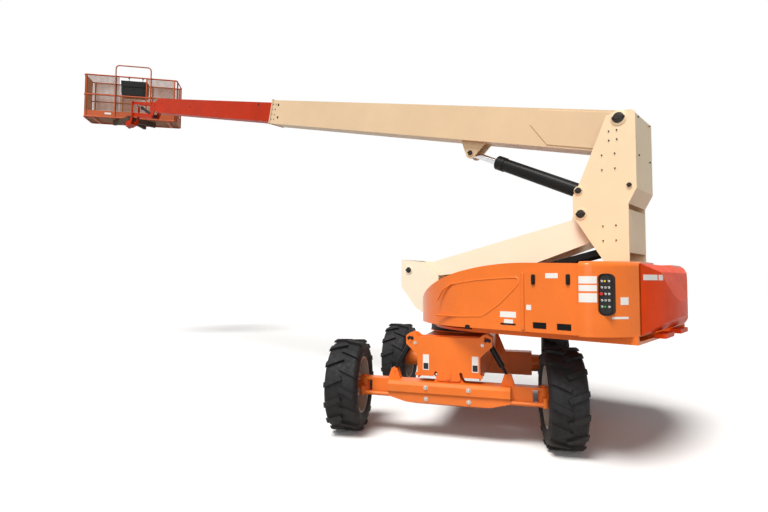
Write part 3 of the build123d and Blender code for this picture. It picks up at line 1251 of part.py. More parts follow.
GATE_TUBE_R = 14
GATE_GAP = 6
gate_half = GATE_HALF - RAIL_R - GATE_GAP - GATE_TUBE_R
end_plane = loop_plan(0)
END_PLANE = Plane(
    origin=end_plane.from_local_coords((GATE_X, -RAIL_Y / 2, 0)),
    x_dir=end_plane.x_dir,
    z_dir=-end_plane.y_dir,
)
with BuildPart() as gate:
    gate_mid = (0, (GATE_BOTTOM + GATE_TUBE_R + RAIL_TOP) / 2)
    with BuildSketch(END_PLANE, mode=Mode.PRIVATE) as gate_loop:
        with Locations(gate_mid):
            RectangleRounded(2 * gate_half, RAIL_TOP - GATE_BOTTOM - GATE_TUBE_R, 60)
    gate_path = gate_loop.sketch.face().outer_wire()
    with BuildSketch(Plane(origin=gate_path @ 0, z_dir=gate_path % 0)):
        Circle(GATE_TUBE_R)
    sweep(path=gate_path)
    with Locations(END_PLANE * Location((0, MID_RAIL, 0), (0, 90, 0))):
        Cylinder(GATE_TUBE_R - 2, 2 * gate_half)
save(gate, "platform_gate")

HOOP_R = 16
HOOP_HALF = 440
hoop_x = PLATFORM_GAP - HOOP_R - FIT
HOOP_PLANE = Plane(
    origin=platform_plan(0).from_local_coords((hoop_x, 0, 0)),
    x_dir=platform_plan(0).y_dir,
    z_dir=platform_plan(0).x_dir,
)
with BuildPart() as hoop:
    with BuildLine(HOOP_PLANE) as hoop_path:
        FilletPolyline(
            (-HOOP_HALF, PLATFORM_Z + 260), (-HOOP_HALF, RAIL_TOP + 290),
            (HOOP_HALF, RAIL_TOP + 290), (HOOP_HALF, PLATFORM_Z + 260),
            radius=90,
        )
    hoop_line = hoop_path.wire()
    with BuildSketch(Plane(origin=hoop_line @ 0, z_dir=hoop_line % 0)):
        Circle(HOOP_R)
    sweep(path=hoop_line)
save(hoop, "console_hoop")

with BuildPart() as console:
    with BuildSketch(HOOP_PLANE.offset(HOOP_R + 2 * RAIL_R + 2 * FIT)):
        with BuildLine():
            Polyline((-330, RAIL_TOP - 90), (330, RAIL_TOP - 90), (300, MID_RAIL + 20), (-300, MID_RAIL + 20),
                     close=True)
        make_face()
    extrude(amount=240)
save(console, "platform_console")
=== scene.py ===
import json
import math

import bmesh
import bpy
import numpy as np
from mathutils import Matrix, Vector
from mathutils.bvhtree import BVHTree


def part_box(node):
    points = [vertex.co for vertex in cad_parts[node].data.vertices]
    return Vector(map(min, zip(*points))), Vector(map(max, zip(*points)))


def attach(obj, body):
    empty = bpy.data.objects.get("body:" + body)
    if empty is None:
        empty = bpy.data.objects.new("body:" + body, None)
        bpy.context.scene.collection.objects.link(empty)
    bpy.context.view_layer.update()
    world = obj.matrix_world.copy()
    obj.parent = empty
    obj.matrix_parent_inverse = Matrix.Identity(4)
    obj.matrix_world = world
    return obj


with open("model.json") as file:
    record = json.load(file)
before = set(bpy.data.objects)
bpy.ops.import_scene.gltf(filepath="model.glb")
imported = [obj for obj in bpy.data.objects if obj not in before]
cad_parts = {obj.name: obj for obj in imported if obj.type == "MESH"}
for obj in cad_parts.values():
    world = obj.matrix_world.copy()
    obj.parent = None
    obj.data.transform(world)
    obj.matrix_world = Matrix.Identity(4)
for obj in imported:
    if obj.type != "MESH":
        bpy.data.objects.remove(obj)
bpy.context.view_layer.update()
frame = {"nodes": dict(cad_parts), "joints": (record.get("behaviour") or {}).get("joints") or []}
NODES = frame["nodes"]

# ---- The upper works' own directions: s forward along the boom, n to its left, z up
JOINTS = {j["name"]: j for j in frame["joints"]}
AWAY = Vector(JOINTS["tower"]["axis"]).normalized()
AHEAD = Vector((0, 0, 1)).cross(AWAY)
LEFT = -AWAY
UP = Vector((0, 0, 1))
RIGHT = Vector((1, 0, 0))
FRONT = Vector((0, -1, 0))
BOOM_DIR = Vector(JOINTS["fly_extend"]["axis"]).normalized()
BOOM_UP = BOOM_DIR.cross(LEFT)


def points_of(node):
    """A CAD node's vertices, as rows."""
    co = np.empty(len(NODES[node].data.vertices) * 3)
    NODES[node].data.vertices.foreach_get("co", co)
    return co.reshape(-1, 3)


def span(node, way, start=0.0):
    """Lowest and highest extent of a CAD node along a direction, counted from start."""
    reach = points_of(node) @ np.array(way)
    return float(reach.min()) - start, float(reach.max()) - start


def middle(node, way):
    return sum(span(node, way)) / 2


# ---- Materials
def shader(name):
    mat = bpy.data.materials.new(name)
    mat.use_nodes = True
    tree = mat.node_tree
    return mat, tree, tree.nodes["Principled BSDF"]


def link(tree, a, b):
    tree.links.new(a, b)


def noise(tree, scale, detail, rough=0.55):
    place = tree.nodes.new("ShaderNodeTexCoord")
    tex = tree.nodes.new("ShaderNodeTexNoise")
    tex.inputs["Scale"].default_value = scale
    tex.inputs["Detail"].default_value = detail
    tex.inputs["Roughness"].default_value = rough
    link(tree, place.outputs["Object"], tex.inputs["Vector"])
    return tex.outputs["Fac"]


def ramp(tree, fac, stops):
    node = tree.nodes.new("ShaderNodeValToRGB")
    link(tree, fac, node.inputs["Fac"])
    points = node.color_ramp.elements
    while len(points) < len(stops):
        points.new(0.5)
    for point, (at, value) in zip(points, stops):
        point.position = at
        point.color = (*value, 1) if isinstance(value, tuple) else (value, value, value, 1)
    return node.outputs["Color"]


def bump(tree, bsdf, height, strength, distance=0.002):
    node = tree.nodes.new("ShaderNodeBump")
    node.inputs["Strength"].default_value = strength
    node.inputs["Distance"].default_value = distance
    link(tree, height, node.inputs["Height"])
    link(tree, node.outputs["Normal"], bsdf.inputs["Normal"])


def ground_dirt(tree, high):
    """Mask that fades in from high above the ground down to it, broken up by noise."""
    place = tree.nodes.new("ShaderNodeTexCoord")
    split = tree.nodes.new("ShaderNodeSeparateXYZ")
    link(tree, place.outputs["Object"], split.inputs[0])
    reach = tree.nodes.new("ShaderNodeMapRange")
    link(tree, split.outputs["Z"], reach.inputs["Value"])
    reach.inputs["From Min"].default_value = 0.0
    reach.inputs["From Max"].default_value = high
    reach.inputs["To Min"].default_value = 0.55
    reach.inputs["To Max"].default_value = 0.0
    both = tree.nodes.new("ShaderNodeMath")
    both.operation = "MULTIPLY"
    link(tree, reach.outputs[0], both.inputs[0])
    link(tree, noise(tree, 9.0, 6.0, 0.7), both.inputs[1])
    return both.outputs[0]


def dusted(tree, tone, high, dust):
    """Dust over a tone, from a height above the ground down to it."""
    node = tree.nodes.new("ShaderNodeMix")
    node.data_type = "RGBA"
    link(tree, ground_dirt(tree, high), node.inputs[0])
    link(tree, tone, node.inputs[6])
    node.inputs[7].default_value = (*dust, 1)
    return node.outputs[2]


def paint(name, colour, rough=0.34, coat=0.12, dirt=0.0, vary=0.12, peel=0.03, specular=0.22):
    """Paint or moulding: slow colour drift, scuffs in the gloss, orange peel, and dust low down."""
    mat, tree, bsdf = shader(name)
    dark = tuple(c * (1 - vary) for c in colour)
    light = tuple(min(1.0, c * (1 + vary * 0.5)) for c in colour)
    tone = ramp(tree, noise(tree, 1.7, 4.0), [(0.3, dark), (0.7, light)])
    if dirt > 0:
        tone = dusted(tree, tone, dirt, (0.30, 0.22, 0.15))
    link(tree, tone, bsdf.inputs["Base Color"])
    gloss = ramp(tree, noise(tree, 14.0, 6.0, 0.7), [(0.35, rough), (0.75, rough + 0.16)])
    link(tree, gloss, bsdf.inputs["Roughness"])
    bsdf.inputs["Specular IOR Level"].default_value = specular
    bsdf.inputs["Coat Weight"].default_value = coat
    bsdf.inputs["Coat Roughness"].default_value = 0.12
    bump(tree, bsdf, noise(tree, 220.0, 2.0), peel)
    return mat


def metal(name, colour, rough, scale=60.0):
    mat, tree, bsdf = shader(name)
    dark = tuple(c * 0.8 for c in colour)
    tone = ramp(tree, noise(tree, scale, 4.0, 0.6), [(0.3, dark), (0.7, colour)])
    link(tree, tone, bsdf.inputs["Base Color"])
    gloss = ramp(tree, noise(tree, scale * 1.7, 3.0, 0.6), [(0.3, rough), (0.8, rough + 0.12)])
    link(tree, gloss, bsdf.inputs["Roughness"])
    bsdf.inputs["Metallic"].default_value = 1.0
    bump(tree, bsdf, noise(tree, scale * 3, 2.0, 0.5), 0.05)
    return mat


def rubber(name):
    mat, tree, bsdf = shader(name)
    stops = [(0.35, (0.006, 0.006, 0.007)), (0.75, (0.020, 0.019, 0.020))]
    tone = ramp(tree, noise(tree, 6.0, 8.0, 0.75), stops)
    tone = dusted(tree, tone, 0.5, (0.060, 0.048, 0.036))
    link(tree, tone, bsdf.inputs["Base Color"])
    bsdf.inputs["Specular IOR Level"].default_value = 0.25
    gloss = ramp(tree, noise(tree, 30.0, 5.0), [(0.3, 0.55), (0.7, 0.8)])
    link(tree, gloss, bsdf.inputs["Roughness"])
    bump(tree, bsdf, noise(tree, 90.0, 6.0, 0.7), 0.25, 0.003)
    return mat


ORANGE = (0.86, 0.185, 0.020)
DEEP_ORANGE = (0.46, 0.026, 0.003)
MATS = {
    "orange": paint("orange_gloss", ORANGE, 0.34, 0.10, dirt=0.55),
    "hood": paint("orange_moulding", ORANGE, 0.26, 0.22, vary=0.08),
    "weight": paint("orange_casting", (0.80, 0.062, 0.007), 0.36, 0.0, vary=0.16, peel=0.09,
                    specular=0.05),
    "fly": paint("orange_boom", DEEP_ORANGE, 0.45, 0.02, vary=0.12, specular=0.1),
    "mesh": paint("orange_wire", (0.36, 0.15, 0.07), 0.6, 0.0, vary=0.15),
    "rail": paint("orange_rail", (0.52, 0.10, 0.025), 0.45, 0.05, vary=0.18),
    "cream": paint("cream_gloss", (0.88, 0.70, 0.46), 0.40, 0.10, vary=0.05),
    "boom": paint("cream_boom", (0.74, 0.54, 0.34), 0.42, 0.06, vary=0.06),
    "tower": paint("cream_tower", (0.92, 0.82, 0.64), 0.42, 0.06, vary=0.04),
    "rim": paint("rim_paint", (0.62, 0.59, 0.54), 0.46, 0.05, dirt=0.9, vary=0.12),
    "black": paint("black_satin", (0.006, 0.006, 0.006), 0.42, 0.05, vary=0.4, specular=0.15),
    # Painted shade: the platform mount's orange is drawn dark brown for the shade on its underside.
    "dark": paint("painted_shade_underside", (0.075, 0.045, 0.028), 0.65, 0.0, vary=0.35),
    # Black moulding, also used as painted shade for the boom's access holes and the hood's slots.
    "plastic_and_painted_shade": paint("black_moulding_and_painted_shade", (0.010, 0.010, 0.010), 0.55, 0.0, vary=0.3, peel=0.3,
                     specular=0.15),
    "white": paint("blank_plate_white", (0.84, 0.82, 0.78), 0.45, 0.05, vary=0.05),
    "label_black": paint("blank_plate_black", (0.016, 0.016, 0.018), 0.45, 0.05, vary=0.2),
    "red": paint("knob_red", (0.62, 0.02, 0.015), 0.3, 0.3),
    "yellow": paint("knob_yellow", (0.80, 0.52, 0.02), 0.3, 0.3),
    "green": paint("knob_green", (0.03, 0.30, 0.07), 0.3, 0.3),
    "chrome": metal("hard_chrome", (0.74, 0.74, 0.76), 0.12, scale=25.0),
    "iron": metal("dark_iron", (0.045, 0.040, 0.036), 0.5),
    "zinc": metal("zinc_bolt", (0.46, 0.44, 0.41), 0.38),
    # Painted shade: the platform floor is drawn dark brown for the shade on its underside, which is seen from
    # below.
    "tread": paint("tread_plate_painted_shade", (0.26, 0.11, 0.055), 0.6, 0.0, vary=0.3, peel=0.4),
    "rubber": rubber("tyre_rubber"),
}
DRESS = {
    "rubber": ("tyre_",),
    "rim": ("rim_",),
    "hood": ("hood_", "rear_pod_"),
    "weight": ("counterweight",),
    "fly": ("boom_fly", "jib_head", "jib_arm", "jib_link", "platform_support"),
    "rail": ("platform_frame", "platform_gate", "console_hoop"),
    "boom": ("boom_base",),
    "tower": ("upper_tower", "tower_elbow", "lower_tower"),
    "cream": ("upright",),
    "black": ("slew_bearing", "lock_cylinder", "lift_cylinder_barrel", "tower_cylinder_barrel",
              "jib_cylinder_barrel", "lower_timing_link", "upper_timing_links", "battery"),
    "dark": ("platform_mount",),
    "plastic_and_painted_shade": ("ground_control_panel", "platform_console", "boom_wear_pads"),
    "chrome": ("lift_cylinder_rod", "tower_cylinder_rod", "jib_cylinder_rod"),
    "tread": ("platform_floor",),
}
for node_name, obj in NODES.items():
    key = next((k for k, starts in DRESS.items() if node_name.startswith(starts)), "orange")
    obj.data.materials.clear()
    obj.data.materials.append(MATS[key])

# ---- Places on the machine
def corner_dirs(node):
    """Level directions along and across a node that is longer one way."""
    flat = points_of(node)[:, :2]
    axes = np.linalg.eigh(np.cov((flat - flat.mean(axis=0)).T))[1]
    return Vector((*axes[:, 1], 0)), Vector((*axes[:, 0], 0))


class Place:
    """Local axes: u and v lie in a face of the machine and w stands out of it."""

    def __init__(self, origin, u, v, w):
        self.origin, self.u, self.v, self.w = Vector(origin), u, v, w

    def at(self, u, v, w=0.0):
        return self.origin + self.u * u + self.v * v + self.w * w


def joint_pos(name):
    return Vector(JOINTS[name]["pos_m"])


def joint_way(name):
    return Vector(JOINTS[name]["axis"]).normalized()


def side_of(joint):
    """A joint's place along the upper works and its height."""
    point = joint_pos(joint)
    return point.dot(AHEAD), point.z


NEAR = Place((0, 0, 0), AHEAD, UP, LEFT)
FAR = Place((0, 0, 0), AHEAD, UP, AWAY)
REAR = Place((0, 0, 0), LEFT, UP, -AHEAD)
FACE = Place((0, 0, 0), RIGHT, UP, FRONT)
BOOM = Place(joint_pos("boom_lift"), BOOM_DIR, BOOM_UP, LEFT)
BOOM_FAR = Place(joint_pos("boom_lift"), BOOM_DIR, BOOM_UP, AWAY)
ALONG, ACROSS = corner_dirs("platform_floor")
AXIS = joint_pos("platform_rotate")
floor_low, floor_high = (Vector(v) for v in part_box("platform_floor"))
if ((floor_low + floor_high) / 2 - AXIS).dot(ACROSS) < 0:
    ACROSS = -ACROSS
if ALONG.dot(LEFT) < 0:
    ALONG = -ALONG
DECK = Place((AXIS.x, AXIS.y, 0), ALONG, UP, ACROSS)


# ---- Mesh tools
SHARP_ANGLE = math.radians(35)
RAY_START = 4.0  # further out than any face, so that a ray meets the outer one
SUNK = 0.001  # how deep an added piece's foot stands in the face that carries it
DECAL_FOOT = 0.0003


def rounded(u, v, w, h, r=0.0, steps=4):
    """Outline of a rectangle about a point, with round corners."""
    if r <= 0:
        return [(u + du * w / 2, v + dv * h / 2) for du, dv in ((-1, -1), (1, -1), (1, 1), (-1, 1))]
    out = []
    for cu, cv, start in ((1, -1, -90), (1, 1, 0), (-1, 1, 90), (-1, -1, 180)):
        for i in range(steps + 1):
            a = math.radians(start + 90 * i / steps)
            out.append((u + cu * (w / 2 - r) + r * math.cos(a), v + cv * (h / 2 - r) + r * math.sin(a)))
    return out


def circle(u, v, r, steps, start=0.0):
    """Points round a circle, the first one start steps on from the u axis."""
    turns = [math.tau * (i + start) / steps for i in range(steps)]
    return [(u + r * math.cos(a), v + r * math.sin(a)) for a in turns]


def shrink(outline, by):
    """Outline moved inwards by a small amount."""
    count = len(outline)
    area = sum(a[0] * b[1] - b[0] * a[1] for a, b in zip(outline, outline[1:] + outline[:1]))
    way = 1 if area > 0 else -1
    out = []
    for i in range(count):
        before, here, after = (Vector(outline[k % count]) for k in (i - 1, i, i + 1))
        one, two = (here - before).normalized(), (after - here).normalized()
        normal = Vector((-one.y - two.y, one.x + two.x)) * way
        if normal.length:
            normal = normal.normalized() * min(by / max(0.3, normal.length / 2), by * 3)
        out.append(tuple(here + normal))
    return out


class Piece:
    """A mesh in the making: closed solids that go into one object."""

    def __init__(self):
        self.mesh = bmesh.new()

    def loops(self, rings):
        """Closed skin over rings of points, capped at both ends."""
        rows = [[self.mesh.verts.new(p) for p in ring] for ring in rings]
        count = len(rows[0])
        for low, high in zip(rows, rows[1:]):
            for i in range(count):
                self.mesh.faces.new((low[i], low[(i + 1) % count], high[(i + 1) % count], high[i]))
        self.mesh.faces.new(list(reversed(rows[0])))
        self.mesh.faces.new(rows[-1])

    def slab(self, place, outline, low, high, chamfer=0.0):
        """Plate on a face, from one height to another, with its top edge chamfered."""
        rings = [(outline, low), (outline, high - chamfer)]
        if chamfer > 0:
            rings.append((shrink(outline, chamfer), high))
        self.loops([[place.at(u, v, w) for u, v in ring] for ring, w in rings])

    def plate(self, place, outline, face, thick, chamfer=0.0):
        """Slab that stands on a face, with its foot sunk in."""
        self.slab(place, outline, face - SUNK, face + thick, chamfer)

    def turned(self, place, u, v, base, profile, steps=24):
        """Round solid on a face: profile lists (radius, height over base), from low to high."""
        self.loops([[place.at(a, b, base + w) for a, b in circle(u, v, r, steps)] for r, w in profile])

    def bolt(self, place, u, v, low, size, washer=True):
        """Hexagon bolt head with its washer, where size is across the flats."""
        if washer:
            self.turned(place, u, v, low, [(size * 0.95, 0), (size * 0.95, 0.002)], 16)
        r = size / 2 / math.cos(math.pi / 6)
        top = 0.002 + size * 0.62
        self.turned(place, u, v, low, [(r, 0.001), (r, top - 0.0015), (r * 0.86, top)], 6)

    def tube(self, points, radius, steps=10):
        """Round bar through points."""
        points = [Vector(p) for p in points]
        rings = []
        side = None
        for i, here in enumerate(points):
            ahead = (points[min(i + 1, len(points) - 1)] - points[max(i - 1, 0)]).normalized()
            side = (side - ahead * side.dot(ahead) if side else ahead.orthogonal()).normalized()
            other = ahead.cross(side)
            rings.append([here + side * a + other * b for a, b in circle(0, 0, radius, steps)])
        self.loops(rings)

    def done(self, name, material, body):
        """Turns the solids into one object that rides on a body."""
        bmesh.ops.recalc_face_normals(self.mesh, faces=self.mesh.faces)
        data = bpy.data.meshes.new(name)
        self.mesh.to_mesh(data)
        self.mesh.free()
        obj = bpy.data.objects.new(name, data)
        bpy.context.scene.collection.objects.link(obj)
        data.materials.append(MATS[material])
        data.polygons.foreach_set("use_smooth", [True] * len(data.polygons))
        data.set_sharp_from_angle(angle=SHARP_ANGLE)
        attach(obj, body)


GRAPH = bpy.context.evaluated_depsgraph_get()
SURFACES = {}


def surface(node, place, u, v):
    """Where a line into the face meets a node, and which way the node faces there."""
    if node not in SURFACES:
        SURFACES[node] = BVHTree.FromObject(NODES[node], GRAPH)
    hit, normal, _, _ = SURFACES[node].ray_cast(place.at(u, v, RAY_START), -place.w)
    if hit is None:
        return place.at(u, v, 0), place.w
    return hit, normal if normal.dot(place.w) > 0 else -normal


def depth(node, place, u, v):
    """How far out of a place's face a node's surface stands."""
    return (surface(node, place, u, v)[0] - place.origin).dot(place.w)


def decal(piece, node, place, u, v, w, h, across=10, up=3, proud=0.0012):
    """Thin plate that follows a node's surface."""
    tops, lows = [], []
    for j in range(up + 1):
        for i in range(across + 1):
            hit, normal = surface(node, place, u + w * (i / across - 0.5), v + h * (j / up - 0.5))
            tops.append(piece.mesh.verts.new(hit + normal * proud))
            lows.append(piece.mesh.verts.new(hit + normal * DECAL_FOOT))
    row = across + 1
    for j in range(up):
        for i in range(across):
            k = j * row + i
            piece.mesh.faces.new((tops[k], tops[k + 1], tops[k + row + 1], tops[k + row]))
            piece.mesh.faces.new((lows[k + row], lows[k + row + 1], lows[k + 1], lows[k]))
    rim = list(range(row)) + [j * row + across for j in range(1, up + 1)]
    rim += [up * row + i for i in range(across - 1, -1, -1)] + [j * row for j in range(up - 1, 0, -1)]
    for a, b in zip(rim, rim[1:] + rim[:1]):
        piece.mesh.faces.new((tops[b], tops[a], lows[a], lows[b]))


# ---- Wheels: nuts and hub caps
NUTS, NUT_CIRCLE, NUT_SIZE = 9, 0.138, 0.027
CAP_BOLTS, CAP_BOLT_CIRCLE, CAP_BOLT_SIZE = 6, 0.062, 0.011
CAP = [(0.088, -0.004), (0.088, 0.004), (0.080, 0.009), (0.030, 0.011)]
HUB_IN = 0.013  # from the rim's edge in to the hub's face
NUTS_IN = 0.045  # and from there in to the disc that the nuts clamp


def wheel_details(name, body, joint):
    centre, axle = joint_pos(joint), joint_way(joint)
    if centre.x * axle.x < 0:
        axle = -axle
    face = Place(centre, UP.cross(axle).normalized(), UP, axle)
    hub = span(f"rim_{name}", axle, centre.dot(axle))[1] - HUB_IN
    nuts, cap = Piece(), Piece()
    for u, v in circle(0, 0, NUT_CIRCLE, NUTS):
        nuts.bolt(face, u, v, hub - NUTS_IN, NUT_SIZE)
    nuts.done(f"wheel_nuts_{name}", "zinc", body)
    cap.turned(face, 0, 0, hub, CAP)
    for u, v in circle(0, 0, CAP_BOLT_CIRCLE, CAP_BOLTS, 0.5):
        cap.bolt(face, u, v, hub + 0.008, CAP_BOLT_SIZE, False)
    cap.done(f"hub_cap_{name}", "rim", body)


for axle_end, hand in (("steer", "left"), ("steer", "right"), ("drive", "left"), ("drive", "right")):
    wheel_details(f"{axle_end}_{hand}", f"{axle_end}_wheel_{hand}", f"wheel_{axle_end}_{hand}")

# ---- Chassis front: blank plates, lock eyes, bolts and tie-down rings
PLATE_X = (-0.225, 0.265)
PLATE_Z, PLATE_W, PLATE_H = 0.750, 0.062, 0.155
BLOCK_Z, BLOCK_W, BLOCK_H = 0.712, 0.050, 0.060
BLOCK_PROUD = 0.0018
EYE_X, EYE_Z = 0.385, 0.985
EYE_BOLT = (0.05, 0.045)  # inwards and down from the eye
COVER_BOLT_X, COVER_BOLT_Z = 0.21, (0.515, 0.400)
RING_X, RING_FACE_Z, RING_ROD_R = 0.135, 0.640, 0.009
# A ring's path: across from its middle, height above the ground, and out from the face.
RING_PATH = [(-0.025, 0.655, -0.004), (-0.025, 0.652, 0.030), (-0.022, 0.610, 0.045),
             (0.000, 0.592, 0.048), (0.022, 0.610, 0.045), (0.025, 0.652, 0.030), (0.025, 0.655, -0.004)]
labels, blocks, eyes, fasteners, hooks = (Piece() for _ in range(5))
for x in PLATE_X:
    decal(labels, "chassis_frame", FACE, x, PLATE_Z, PLATE_W, PLATE_H, 3, 6)
    decal(blocks, "chassis_frame", FACE, x, BLOCK_Z, BLOCK_W, BLOCK_H, 3, 3, BLOCK_PROUD)
labels.done("chassis_labels", "white", "chassis")
blocks.done("chassis_label_blocks", "label_black", "chassis")
for hand in (-1, 1):
    x = hand * EYE_X
    base = depth("chassis_frame", FACE, x, EYE_Z)
    eyes.plate(FACE, rounded(x, EYE_Z, 0.066, 0.036, 0.017), base, 0.006, 0.002)
    fasteners.bolt(FACE, x - hand * EYE_BOLT[0], EYE_Z - EYE_BOLT[1], base, 0.017)
eyes.done("lock_eyes", "black", "chassis")
for z in COVER_BOLT_Z:
    for x in (-COVER_BOLT_X, COVER_BOLT_X):
        fasteners.bolt(FACE, x, z, depth("steer_axle_cover", FACE, x, z), 0.024)
fasteners.done("chassis_bolts", "zinc", "chassis")
for x in (-RING_X, RING_X):
    base = depth("chassis_frame", FACE, x, RING_FACE_Z)
    hooks.tube([FACE.at(x + across, z, base + out) for across, z, out in RING_PATH], RING_ROD_R)
hooks.done("tie_down_rings", "orange", "chassis")

# ---- Hoods: the doors' latches and louvres, ridges, slots drawn as painted shade, creases and blank plates
DOOR = "hood_door_near"
HOOD_N = span("hood_near", LEFT)[1]
DOOR_N = span(DOOR, LEFT)[1] - 0.014  # the door's skin, behind its furthest point
DOOR_S, DOOR_Z = middle(DOOR, AHEAD), middle(DOOR, UP)
DOOR_H = span(DOOR, UP)[1] - span(DOOR, UP)[0]
LATCH_S, LOUVRE_S = (-0.15, 0.15), (-0.11, 0.10)
SLATS, SLAT_STEP = 4, 0.0125
RIDGE_S = span(DOOR, AHEAD)[1] + 0.022
# Across, up, width and height on the hood's flank.
HOOD_SLOTS = [(-1.155, 1.185, 0.150, 0.016), (-0.735, 1.133, 0.055, 0.042)]
HOOD_PLATES = [(-1.155, 1.270, 0.155, 0.052), (-1.160, 1.208, 0.087, 0.038)]
DOOR_PLATES = [(DOOR_S - 0.01, DOOR_Z + 0.222, 0.108, 0.042), (DOOR_S + 0.195, DOOR_Z - 0.05, 0.044, 0.044)]
# The same on the rear pod and on the counterweight's back, with how finely a plate is divided.
TAIL_PLATES = [("rear_pod_near", NEAR, -1.866, 1.578, 0.126, 0.058, 12, 2),
               ("rear_pod_near", NEAR, -1.866, 1.513, 0.126, 0.048, 12, 2),
               ("rear_pod_near", NEAR, -1.866, 1.437, 0.126, 0.072, 12, 2),
               ("rear_pod_near", NEAR, -2.085, 1.412, 0.042, 0.060, 6, 2),
               ("rear_pod_near", NEAR, -2.060, 1.280, 0.088, 0.018, 6, 2),
               ("counterweight", REAR, 0.665, 1.600, 0.190, 0.045, 16, 4),
               ("counterweight", REAR, 0.515, 1.600, 0.070, 0.045, 16, 4)]
# Raised edge of the hood's long recess.
CREASE = [(-0.385, 1.377), (-0.446, 1.477), (-0.552, 1.536), (-0.832, 1.576), (-1.091, 1.594),
          (-1.240, 1.598), (-1.262, 1.580), (-1.255, 1.541), (-1.188, 1.470), (-1.069, 1.360),
          (-0.925, 1.262), (-0.880, 1.240), (-0.650, 1.228), (-0.373, 1.228)]
for side, place in (("near", NEAR), ("far", FAR)):
    latches, vents, ridge, slot_shade = (Piece() for _ in range(4))
    for s in LATCH_S:
        latches.plate(place, rounded(DOOR_S + s, DOOR_Z + 0.19, 0.032, 0.088, 0.012), DOOR_N, 0.017, 0.004)
        latches.plate(place, rounded(DOOR_S + s, DOOR_Z + 0.185, 0.018, 0.055, 0.008), DOOR_N + 0.017,
                      0.004, 0.002)
    latches.done(f"door_latches_{side}", "plastic_and_painted_shade", f"door_{side}")
    for s in LOUVRE_S:
        vents.slab(place, rounded(DOOR_S + s, DOOR_Z - 0.20, 0.116, 0.051, 0.004), DOOR_N - 0.0095,
                   DOOR_N - 0.007)
        for k in range(SLATS):
            vents.slab(place, rounded(DOOR_S + s, DOOR_Z - 0.219 + SLAT_STEP * k, 0.114, 0.004),
                       DOOR_N - 0.008, DOOR_N - 0.001)
    vents.done(f"door_louvres_{side}", "plastic_and_painted_shade", f"door_{side}")
    ridge.plate(place, rounded(RIDGE_S, DOOR_Z, 0.030, DOOR_H - 0.02, 0.014), HOOD_N, 0.016, 0.006)
    ridge.done(f"hood_ridge_{side}", "hood", "turntable")
    # Painted shade: the hood's slots are thin black plates on the flank, standing for the dark inside of each
    # opening.
    for u, v, w, h in HOOD_SLOTS:
        slot_shade.plate(place, rounded(u, v, w, h, h * 0.45), HOOD_N, 0.0015)
    slot_shade.done(f"hood_slot_painted_shade_{side}", "plastic_and_painted_shade", "turntable")
for side, place in (("near", NEAR), ("far", FAR)):
    crease = Piece()
    crease.tube([place.at(u, v, HOOD_N - 0.003) for u, v in CREASE], 0.009)
    crease.done(f"hood_crease_{side}", "hood", "turntable")
hood_plates, door_plates, tail_plates = (Piece() for _ in range(3))
for plate in HOOD_PLATES:
    decal(hood_plates, "hood_near", NEAR, *plate)
hood_plates.done("hood_plates", "white", "turntable")
for plate in DOOR_PLATES:
    decal(door_plates, DOOR, NEAR, *plate)
door_plates.done("door_plates", "white", "door_near")
for plate in TAIL_PLATES:
    decal(tail_plates, *plate)
tail_plates.done("tail_plates", "white", "turntable")

# ---- Ground control panel: switches, knobs and stop button
PANEL = "ground_control_panel"
PANEL_N = span(PANEL, LEFT)[1]
PANEL_S, PANEL_Z = middle(PANEL, AHEAD), middle(PANEL, UP)
ROWS, COLUMNS = range(5), (-1, 0, 1)
SWITCH = [(0.009, 0.001), (0.009, 0.005), (0.007, 0.006)]
LEVER = [(0.0, 0.004), (0.004, 0.014), (0.007, 0.021)]  # up and out
LEVER_R = 0.0028
# Row and column of the round knobs, and their radius.
KNOBS = {"red": (2, 1, 0.013), "yellow": (0, 0, 0.008), "green": (4, 0, 0.008)}


def panel_spot(row, column):
    return PANEL_S + column * 0.027, PANEL_Z + 0.105 - row * 0.050


face_plate, switches = Piece(), Piece()
face_plate.plate(NEAR, rounded(PANEL_S, PANEL_Z, 0.088, 0.296, 0.030), PANEL_N, 0.002, 0.0008)
face_plate.done("panel_face", "label_black", "turntable")
knob_spots = [(row, column) for row, column, _ in KNOBS.values()]
for row, column in ((row, column) for row in ROWS for column in COLUMNS):
    if (row, column) not in knob_spots:
        u, v = panel_spot(row, column)
        switches.turned(NEAR, u, v, PANEL_N, SWITCH, 14)
        switches.tube([NEAR.at(u, v + up, PANEL_N + out) for up, out in LEVER], LEVER_R, 8)
switches.done("panel_switches", "zinc", "turntable")
for colour, (row, column, r) in KNOBS.items():
    knob = Piece()
    knob.turned(NEAR, *panel_spot(row, column), PANEL_N,
                [(r * 0.55, 0.001), (r * 0.55, 0.010), (r, 0.011), (r, 0.018), (r * 0.8, 0.020)], 20)
    knob.done(f"panel_knob_{colour}", colour, "turntable")


# ---- Pins: end rings, keepers and bolts
PIN_STEPS = 28


def pin_end(ends, bolts, place, u, v, w, radius, ring=True):
    """A pin's ring in the frame's paint, and in iron its end, its keeper and the keeper's two bolts."""
    if ring:
        ends.turned(place, u, v, w, [(radius * 1.45, 0), (radius * 1.45, 0.006), (radius * 1.38, 0.008)],
                    PIN_STEPS)
    bolts.turned(place, u, v, w, [(radius, 0), (radius, 0.014), (radius * 0.88, 0.017)], PIN_STEPS)
    keeper = rounded(u, v, radius * 2.3, radius * 0.62, radius * 0.25)
    bolts.slab(place, keeper, w + 0.008, w + 0.021, 0.002)
    for k in (-1, 1):
        bolts.bolt(place, u + k * radius * 0.88, v, w + 0.021, radius * 0.30, False)


